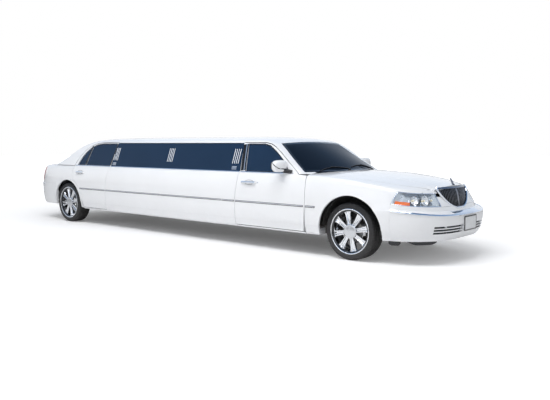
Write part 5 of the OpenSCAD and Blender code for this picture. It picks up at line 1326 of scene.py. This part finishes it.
# ---------------------------------------------------------------- padded seats
def cushion(centre, half, rot=None, n=22, power=5.0, crown=0.12, pleats=(), pull=0.05, dimples=(), name="pad",
            mat=None, body="car_body", piping=True):
    """A crowned closed form on a cube's grid. Its local Z is the face one sits on or leans against."""
    c, h = Vector(centre), Vector(half)
    rot = rot or Matrix.Identity(3)
    verts, faces, index = [], [], {}

    def place_point(d):
        x, y, z = d
        k = (abs(x) ** power + abs(y) ** power + abs(z) ** power) ** (-1 / power)
        x, y, z = x * k, y * k, z * k
        # sides pull in towards the seam, the face is crowned
        waist = 1 - pull * (1 - z * z) * 0.6
        px, py, pz = x * waist, y * waist, z
        if z > 0:
            pz = z * (1 - crown) + crown * (1 - x * x) * (1 - y * y)
            for u in pleats:
                pz -= 0.09 * math.exp(-((y - u) / 0.045) ** 2) * (1 - x ** 6)
            for ux, uy in dimples:
                pz -= 0.16 * math.exp(-(((x - ux) * h.x) ** 2 + ((y - uy) * h.y) ** 2) / 0.022 ** 2)
            pz += 0.012 * math.sin(9 * x + 4 * y) * math.sin(7 * y - 2 * x) * (1 - z ** 8 * 0.4)
        return Vector((px * h.x, py * h.y, pz * h.z))

    N = n
    for axis in range(3):
        for sg in (-1, 1):
            grid = []
            for i in range(N + 1):
                line = []
                for j in range(N + 1):
                    # denser towards the edges
                    a = math.sin((2 * i / N - 1) * math.pi / 2 * 0.96) / math.sin(math.pi / 2 * 0.96)
                    b = math.sin((2 * j / N - 1) * math.pi / 2 * 0.96) / math.sin(math.pi / 2 * 0.96)
                    d = [0, 0, 0]
                    d[axis], d[(axis + 1) % 3], d[(axis + 2) % 3] = sg, a, b
                    key = tuple(round(q, 5) for q in d)
                    if key not in index:
                        index[key] = len(verts)
                        verts.append(c + rot @ place_point(d))
                    line.append(index[key])
                grid.append(line)
            for i in range(N):
                for j in range(N):
                    q = (grid[i][j], grid[i + 1][j], grid[i + 1][j + 1], grid[i][j + 1])
                    faces.append(q if sg > 0 else q[::-1])
    o = add(name, verts, faces, mat or LEATHER, body, 60, "seat_leather")
    fix_normals(o)
    if piping:
        m = Mesh()
        pts = []
        M = 88
        for k in range(M):
            t = 2 * math.pi * k / M
            x, y = math.cos(t), math.sin(t)
            kk = max(abs(x), abs(y))
            d = (x / kk, y / kk, 0.80)
            pts.append(c + rot @ place_point(d))
        rows = []
        for k in range(M):
            a, b = pts[k - 1], pts[(k + 1) % M]
            t = (b - a).normalized()
            u = (pts[k] - c).normalized()
            u = (u - t * u.dot(t)).normalized()
            w = t.cross(u)
            rows.append([pts[k] + (u * math.cos(q) + w * math.sin(q)) * 0.0035
                         for q in [2 * math.pi * z / 8 for z in range(8)]])
        m.grid(rows, close_u=True, close_v=True)
        m.done(name + "_piping", LEATHER_GREY, body, 60, "seat_leather")
    return o


def tilt(deg):
    return Matrix.Rotation(math.radians(deg), 3, "Y")


def face_forward(lean):
    """Local Z points along +X and up a little, local X points up the back."""
    a = math.radians(lean)
    zx = Vector((math.cos(a), 0, math.sin(a)))
    xx = Vector((-math.sin(a), 0, math.cos(a)))
    yy = zx.cross(xx)
    return Matrix((xx, yy, zx)).transposed()


first_front = None
for s in (-1, 1):
    nm = "right" if s < 0 else "left"
    y = 0.38 * s
    o = cushion((1.475, y, 0.505), (0.225, 0.178, 0.062), tilt(-3), name="%s_front_seat_cushion" % nm,
                pleats=(-0.55, 0, 0.55), crown=0.22)
    first_front = first_front or o
    for q in (-1, 1):
        cushion((1.47, y + q * 0.222, 0.518), (0.235, 0.052, 0.068), tilt(-3), n=14,
                name="%s_front_seat_bolster_%d" % (nm, q + 1), crown=0.3, piping=False, power=3.4)
        cushion((1.150, y + q * 0.212, 0.80), (0.225, 0.050, 0.062), face_forward(9), n=14,
                name="%s_front_back_bolster_%d" % (nm, q + 1), crown=0.3, piping=False, power=3.4)
    cushion((1.155, y, 0.79), (0.245, 0.170, 0.058), face_forward(9), name="%s_front_seat_back" % nm,
            pleats=(-0.55, 0, 0.55), crown=0.22)
    cushion((1.118, y, 1.127), (0.072, 0.122, 0.050), face_forward(9), n=16, name="%s_headrest" % nm, crown=0.25,
            power=3.6)
    m = Mesh()
    for q in (-1, 1):
        m.tube([(1.118, y + q * 0.06, 1.00), (1.114, y + q * 0.06, 1.075)], 0.006, 12)
    m.done("%s_headrest_posts" % nm, CHROME_SATIN, "car_body", 40, "cast_metal")
    # base, rails and the hard shell of the back
    m = Mesh()
    m.box((1.22, y - 0.23, 0.375), (1.68, y + 0.23, 0.452), 0.018)
    for q in (-1, 1):
        m.box((1.19, y + q * 0.2 - 0.018, 0.3455), (1.70, y + q * 0.2 + 0.018, 0.376), 0.004)
        m.box((1.24, y + q * 0.248 - 0.009, 0.44), (1.50, y + q * 0.248 + 0.009, 0.475), 0.008)
    m.box((1.070, y - 0.215, 0.56), (1.105, y + 0.215, 1.03), 0.015, rot=tilt(-6), about=(1.09, y, 0.56))
    m.done("%s_front_seat_frame" % nm, PLASTIC, "car_body", 35, "black_plastic")
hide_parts("front_seats")

# armrest box between the front seats, two bright rings and the selector
m = Mesh()
m.box((1.22, -0.085, 0.36), (1.86, 0.085, 0.545), 0.02)
m.box((1.86, -0.10, 0.36), (2.05, 0.10, 0.70), 0.03)
m.done("centre_console", PLASTIC, "car_body", 35, "black_plastic")
cushion((1.36, 0, 0.575), (0.13, 0.078, 0.032), None, n=14, name="console_armrest", crown=0.3, power=3.6,
        piping=False)
m = Mesh()
m.box((1.52, -0.07, 0.543), (1.84, 0.07, 0.550), 0.003)
m.done("console_wood", WOOD, "car_body", 35, "cabin_trim")
m = Mesh()
for k in range(2):
    x = 1.60 + 0.09 * k
    m.revolve([(0.0, 0.034), (0.006, 0.036), (0.006, 0.040), (0.0, 0.041), (-0.002, 0.034)], (x, 0, 0.549),
              (0, 0, 1), 28)
m.tube([(1.78, 0, 0.548), (1.775, 0, 0.60), (1.765, 0, 0.625)], [0.006, 0.006, 0.012], 12)
m.done("console_fittings", CHROME_SATIN, "car_body", 35, "chrome")

# rear bench: three places with tufted backs
bench = None
for k, y in enumerate((-0.455, 0.0, 0.455)):
    o = cushion((-1.985, y, 0.505), (0.245, 0.2265, 0.062), tilt(-3), name="rear_bench_cushion_%d" % k,
                pleats=(-0.66, -0.33, 0, 0.33, 0.66), crown=0.2)
    bench = bench or o
    dots = [(ux, uy) for ux in (-0.45, 0.0, 0.45) for uy in (-0.5, 0, 0.5)]
    cushion((-2.270, y, 0.735), (0.205, 0.2265, 0.055), face_forward(12), name="rear_bench_back_%d" % k,
            dimples=dots, crown=0.2)
    m = Mesh()
    for ux, uy in dots:
        R3 = face_forward(12)
        p = Vector((-2.270, y, 0.735)) + R3 @ Vector((ux * 0.205, uy * 0.2265, 0.055 * 0.86))
        m.revolve([(-0.004, 0.008), (0.0, 0.0085), (0.003, 0.006), (0.004, 0.00001)], p, R3 @ Vector((0, 0, 1)), 14)
    m.done("rear_bench_buttons_%d" % k, LEATHER_GREY, "car_body", 50, "seat_leather")
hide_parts("passenger_seats")
m = Mesh()
m.box((-2.22, -0.69, 0.3455), (-1.75, 0.69, 0.450), 0.012)
m.box((-2.376, -0.69, 0.50), (-2.335, 0.69, 0.945), 0.012, rot=tilt(-5), about=(-2.35, 0, 0.5))
# plinth and frame of the side bench
m.box((-1.365, 0.36, 0.3455), (0.245, 0.832, 0.432), 0.012)
m.box((-1.375, 0.800, 0.43), (0.255, 0.833, 0.872), 0.008)
m.done("bench_frames", PLASTIC, "car_body", 35, "black_plastic")
for k in range(4):
    x = -1.175 + 0.41 * k
    cushion((x, 0.545, 0.488), (0.2035, 0.222, 0.058), None, name="side_bench_cushion_%d" % k,
            pleats=(-0.5, 0, 0.5), crown=0.2)
    # the back faces the cabin's other wall
    up, toward = Vector((0, 0.10, 1)).normalized(), Vector((0, -1, 0.10)).normalized()
    side_axis = toward.cross(up)
    R3 = Matrix((up, side_axis, toward)).transposed()
    cushion((x, 0.752, 0.715), (0.160, 0.2035, 0.046), R3, name="side_bench_back_%d" % k,
            dimples=[(-0.4, -0.5), (-0.4, 0.0), (-0.4, 0.5), (0.4, -0.5), (0.4, 0.0), (0.4, 0.5)], crown=0.2)

# ---------------------------------------------------------------- linings
def drape(name, nodes, xs, ys, direction, start, offset, thick, mat, body, slot, keep=None):
    """A sheet laid on a surface, in patches where every ray lands."""
    d = Vector(direction)
    pts = {}
    for i, x in enumerate(xs):
        for j, y in enumerate(ys):
            o = start(x, y)
            h = cast(nodes, o, d)
            if h and (keep is None or keep(h[0])):
                pts[i, j] = h[0]
    m = Mesh()
    vid = {}

    def vert(i, j, top):
        key = (i, j, top)
        if key not in vid:
            vid[key] = len(m.v)
            m.v.append(tuple(pts[i, j] - d * (offset + (thick if top else 0))))
        return vid[key]

    cells = set()
    for i in range(len(xs) - 1):
        for j in range(len(ys) - 1):
            q = [(i, j), (i + 1, j), (i + 1, j + 1), (i, j + 1)]
            if all(k in pts for k in q):
                depth = [pts[k].dot(d) for k in q]
                if max(depth) - min(depth) < 0.12:
                    cells.add((i, j))
    for i, j in cells:
        q = [(i, j), (i + 1, j), (i + 1, j + 1), (i, j + 1)]
        m.f.append([vert(*k, True) for k in q])
        m.f.append([vert(*k, False) for k in reversed(q)])
        for (a, b), nb in (((q[0], q[1]), (i, j - 1)), ((q[1], q[2]), (i + 1, j)), ((q[2], q[3]), (i, j + 1)),
                           ((q[3], q[0]), (i - 1, j))):
            if nb not in cells:
                m.f.append([vert(*a, True), vert(*a, False), vert(*b, False), vert(*b, True)])
    if not m.f:
        return None
    return m.done(name, mat, body, 30, slot)


def span(a, b, n):
    return [a + (b - a) * i / n for i in range(n + 1)]


drape("cabin_carpet", ["floor_pan"], span(-2.36, 2.02, 60), span(-0.77, 0.77, 24), (0, 0, -1),
      lambda x, y: (x, y, 0.50), 0.0005, 0.006, CARPET, "car_body", "floor_carpet")
drape("trunk_carpet", ["floor_pan"], span(-3.98, -2.83, 24), span(-0.60, 0.60, 20), (0, 0, -1),
      lambda x, y: (x, y, 0.90), 0.0005, 0.006, CARPET, "car_body", "floor_carpet",
      keep=lambda p: p.z < 0.60)
drape("headliner", ["roof"], span(-2.52, 1.84, 60), span(-0.585, 0.585, 22), (0, 0, 1),
      lambda x, y: (x, y, 1.15), 0.002, 0.006, HEADLINER, "car_body", "cabin_trim",
      keep=lambda p: p.z > 1.30)
# soft lights along the cabin's ceiling
m = Mesh()
for s in (-1, 1):
    hits = [h for h in (cast(["roof"], (x, s * 0.50, 1.15), (0, 0, 1)) for x in span(-1.5, 0.7, 40)) if h]
    hits = [(p - Vector((0, 0, 0.010)), Vector((0, 0, -1))) for p, _ in hits]
    m.ribbon(hits, 0.018, 0.010, 0.002)
m.done("ceiling_light_rails", LIGHT_BAR, "car_body", 40, "lamp_lens")

for side, s in SIDES:
    fd, rd = door(side, "front"), door(side, "rear")
    for node, x0, x1, nm in ((fd, 1.50, 2.38, "front"), (rd, -2.40, -1.78, "rear")):
        xs, zs = span(x0, x1, 16), span(0.40, 0.965, 14)
        d = Vector((0, s, 0))
        card = drape("%s_card" % node, [node], xs, zs, (0, s, 0), lambda x, z: (x, 0.0, z), 0.001, 0.010,
                     LEATHER_GREY, node, "cabin_trim", keep=lambda p: abs(p.y) > 0.75)
        h = cast([node], ((x0 + x1) / 2, 0, 0.66), (0, s, 0))
        if not h:
            continue
        yi = h[0].y
        m = Mesh()
        a0, a1 = x0 + 0.10, x1 - 0.16
        ya, yb = sorted((yi - s * 0.010, yi - s * 0.052))
        m.box((a0, ya, 0.63), (a1, yb, 0.675), 0.014)
        ya, yb = sorted((yi - s * 0.010, yi - s * 0.034))
        m.box((a0 + 0.02, ya, 0.43), (a1, yb, 0.53), 0.012)
        m.done("%s_armrest" % node, LEATHER, node, 40, "cabin_trim")
        m = Mesh()
        ya, yb = sorted((yi - s * 0.009, yi - s * 0.0145))
        m.box((x0 + 0.05, ya, 0.79), (x1 - 0.05, yb, 0.822), 0.003)
        m.done("%s_wood_strip" % node, WOOD, node, 40, "cabin_trim")
        m = Mesh()
        m.revolve([(0.0, 0.062), (0.006, 0.066), (0.010, 0.060), (0.008, 0.052), (0.011, 0.036), (0.009, 0.020),
                   (0.012, 0.00001)], (x1 - 0.09 if nm == "front" else x0 + 0.10, yi - s * 0.010, 0.49),
                  (0, -s, 0), 32)
        m.done("%s_speaker" % node, PLASTIC, node, 30, "black_plastic")
        m = Mesh()
        xh = x1 - 0.17
        m.tube([(xh, yi - s * 0.010, 0.745), (xh - 0.01, yi - s * 0.030, 0.745),
                (xh - 0.09, yi - s * 0.032, 0.745), (xh - 0.10, yi - s * 0.012, 0.745)], 0.007, 10)
        m.done("%s_inner_handle" % node, CHROME_SATIN, node, 40, "chrome")
    # padded wall panels along the long cabin
    d = Vector((0, s, 0))
    drape("%s_wall_lining" % side, ["side_panels"], span(-1.60, 1.30, 58), span(0.42, 1.00, 12), (0, s, 0),
          lambda x, z: (x, 0.0, z), 0.0008, 0.004, LEATHER_GREY, "car_body", "cabin_trim",
          keep=lambda p: abs(p.y) > 0.80)

# ---------------------------------------------------------------- dashboard details
m = Mesh()
m.box((2.075, 0.20, 0.905), (2.20, 0.58, 1.000), 0.03, rot=tilt(8), about=(2.1, 0, 0.95))
m.done("instrument_hood", PLASTIC, "car_body", 40, "black_plastic")
m = Mesh()
m.box((2.066, 0.225, 0.845), (2.085, 0.555, 0.955), 0.008)
for k in range(2):
    m.revolve([(0, 0.046), (0.005, 0.047), (0.007, 0.043), (0.002, 0.041), (0.002, 0.00001)],
              (2.066, 0.315 + 0.15 * k, 0.903), (-1, 0, 0), 36)
m.done("instruments", BLACK_GLOSS, "car_body", 35, "black_plastic")
m = Mesh()
for y0, y1 in ((-0.74, -0.16), (0.62, 0.76), (0.155, 0.205)):
    m.box((2.047, y0, 0.800), (2.062, y1, 0.842), 0.004)
m.done("dash_wood", WOOD, "car_body", 35, "cabin_trim")
m = Mesh()
m.box((2.030, -0.13, 0.62), (2.060, 0.13, 0.90), 0.012)
m.done("centre_stack", PLASTIC, "car_body", 35, "black_plastic")
m = Mesh()
m.box((2.024, -0.105, 0.79), (2.033, 0.105, 0.875), 0.004)
for k in range(3):
    m.revolve([(0, 0.020), (0.012, 0.019), (0.014, 0.016), (0.014, 0.00001)], (2.031, -0.07 + 0.07 * k, 0.72),
              (-1, 0, 0), 28)
for y0 in (-0.70, -0.30, 0.64):
    for k in range(5):
        m.box((2.052, y0, 0.858 + 0.011 * k), (2.068, y0 + 0.12, 0.862 + 0.011 * k), 0.001)
m.done("dash_controls", BLACK_GLOSS, "car_body", 35, "black_plastic")
m = Mesh()
st = Vector((1.880, 0.380, 0.800))
ax = Vector((-math.cos(math.radians(25)), 0, math.sin(math.radians(25))))
m.revolve([(0.004, 0.060), (0.018, 0.062), (0.030, 0.050), (0.034, 0.025), (0.035, 0.00001)], st, ax, 36)
m.done("wheel_centre_pad", PLASTIC, "car_body", 40, "black_plastic")
m = Mesh()
m.tube([(1.965, 0.440, 0.765), (1.958, 0.52, 0.800)], [0.006, 0.009], 10)
m.tube([(1.965, 0.320, 0.765), (1.958, 0.24, 0.800)], [0.006, 0.009], 10)
m.box((2.00, 0.28, 0.40), (2.03, 0.33, 0.50), 0.006)
m.box((2.00, 0.40, 0.42), (2.03, 0.49, 0.48), 0.006)
m.done("stalks_and_pedals", PLASTIC, "car_body", 40, "black_plastic")
# inner mirror
m = Mesh()
m.box((1.905, -0.115, 1.265), (1.930, 0.115, 1.325), 0.010)
m.tube([(1.925, 0, 1.32), (1.935, 0, 1.37)], 0.007, 10)
m.done("inner_mirror", PLASTIC, "car_body", 40, "black_plastic")
m = Mesh()
m.box((1.9035, -0.107, 1.271), (1.906, 0.107, 1.319), 0.0008)
m.done("inner_mirror_glass", MIRROR, "car_body", 40, "chrome")

# ---------------------------------------------------------------- partition, bar and its fittings
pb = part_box("partition")
m = Mesh()
xr = (0.800, 0.868)
frame_pts = [(-0.565, 0.895), (0.565, 0.895), (0.505, 1.345), (-0.505, 1.345)]
rows = []
for (y, z) in frame_pts:
    k = Vector((0, y, z - 1.12)).normalized()
    rows.append([Vector((xr[0] + 0.011, y, z)) - k * 0.004, Vector((xr[0] + 0.011, y, z)) + k * 0.012,
                 Vector((xr[1] - 0.011, y, z)) + k * 0.012, Vector((xr[1] - 0.011, y, z)) - k * 0.004])
m.grid(rows, close_u=True, close_v=True)
m.done("partition_window_frame", CHROME_SATIN, "car_body", 35, "chrome")
m = Mesh()
for k in range(5):
    x0 = -1.19 + 0.32 * k
    m.box((x0 + 0.012, -0.519, 0.40), (x0 + 0.308, -0.507, 0.80), 0.004)
m.done("bar_doors", WOOD, "car_body", 35, "cabin_trim")
m = Mesh()
for k in range(5):
    x0 = -1.19 + 0.32 * k
    m.tube([(x0 + 0.27, -0.504, 0.56), (x0 + 0.27, -0.495, 0.57), (x0 + 0.27, -0.495, 0.63),
            (x0 + 0.27, -0.504, 0.64)], 0.004, 8)
m.tube([(-1.18, -0.53, 0.861), (-1.18, -0.53, 0.905), (0.40, -0.53, 0.905), (0.40, -0.53, 0.861)], 0.006, 10)
for x in (-0.78, -0.38, 0.02):
    m.tube([(x, -0.53, 0.861), (x, -0.53, 0.904)], 0.0045, 8)
m.done("bar_rails", CHROME_SATIN, "car_body", 35, "chrome")
m = Mesh()
for k in range(10):
    x, y = -1.05 + 0.12 * (k % 5), -0.62 - 0.09 * (k // 5)
    m.revolve([(0, 0.00001), (0, 0.026), (0.085, 0.031), (0.085, 0.029), (0.008, 0.024), (0.008, 0.00001)],
              (x, y, 0.861), (0, 0, 1), 20)
m.revolve([(0, 0.00001), (0, 0.052), (0.09, 0.050), (0.13, 0.022), (0.16, 0.020), (0.163, 0.026), (0.17, 0.00001)],
          (-0.25, -0.66, 0.861), (0, 0, 1), 28)
m.done("bar_glasses", CLEAR_LENS, "car_body", 35, "lamp_lens")
m = Mesh()
m.revolve([(0, 0.00001), (0, 0.085), (0.13, 0.100), (0.135, 0.104), (0.135, 0.096), (0.01, 0.080), (0.01, 0.00001)],
          (0.12, -0.68, 0.861), (0, 0, 1), 36)
m.done("ice_bucket", CHROME_SATIN, "car_body", 35, "chrome")

# ---------------------------------------------------------------- engine bay
eb0, eb1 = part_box("engine")
ex0, ex1 = Vector(eb0), Vector(eb1)
cxm = (ex0.x + ex1.x) / 2
m = Mesh()
m.box((cxm - 0.24, -0.17, ex1.z), (cxm + 0.24, 0.17, ex1.z + 0.028), 0.012)
for k in range(9):
    m.box((cxm - 0.20 + 0.045 * k, -0.14, ex1.z + 0.026), (cxm - 0.185 + 0.045 * k, 0.14, ex1.z + 0.034), 0.003)
m.done("engine_cover", PLASTIC, "car_body", 35, "black_plastic")
m = Mesh()
for s in (-1, 1):
    m.box((cxm - 0.22, s * 0.205 - 0.028, ex1.z - 0.02), (cxm + 0.22, s * 0.205 + 0.028, ex1.z + 0.014), 0.01)
    for k in range(4):
        m.revolve([(0, 0.012), (0.012, 0.012), (0.012, 0.00001)], (cxm - 0.17 + 0.11 * k, s * 0.205, ex1.z + 0.013),
                  (0, 0, 1), 16)
m.done("valve_covers", CAST, "car_body", 35, "cast_metal")
m = Mesh()
m.box((3.80, -0.31, 0.50), (3.845, 0.31, 0.83), 0.006)
for k in range(40):
    m.box((3.845, -0.30, 0.515 + 0.0077 * k), (3.850, 0.30, 0.518 + 0.0077 * k), 0.0006)
m.done("radiator", CAST, "car_body", 35, "cast_metal")
m = Mesh()
m.box((3.36, 0.36, 0.60), (3.60, 0.53, 0.76), 0.008)
m.box((3.30, -0.53, 0.60), (3.58, -0.34, 0.755), 0.02)
m.box((2.72, 0.33, 0.60), (2.86, 0.50, 0.74), 0.02)
for q in (0.40, 0.49):
    m.revolve([(0, 0.011), (0.014, 0.010), (0.014, 0.00001)], (3.40, q, 0.760), (0, 0, 1), 16)
m.tube([(3.81, 0.20, 0.80), (3.72, 0.19, 0.80), (3.62, 0.15, 0.78), (3.50, 0.12, ex1.z - 0.03)], 0.022, 14)
m.tube([(3.32, -0.40, 0.70), (3.22, -0.36, 0.73), (3.10, -0.26, ex1.z + 0.0)], 0.034, 16)
m.done("bay_boxes_and_hoses", PLASTIC, "car_body", 35, "black_plastic")
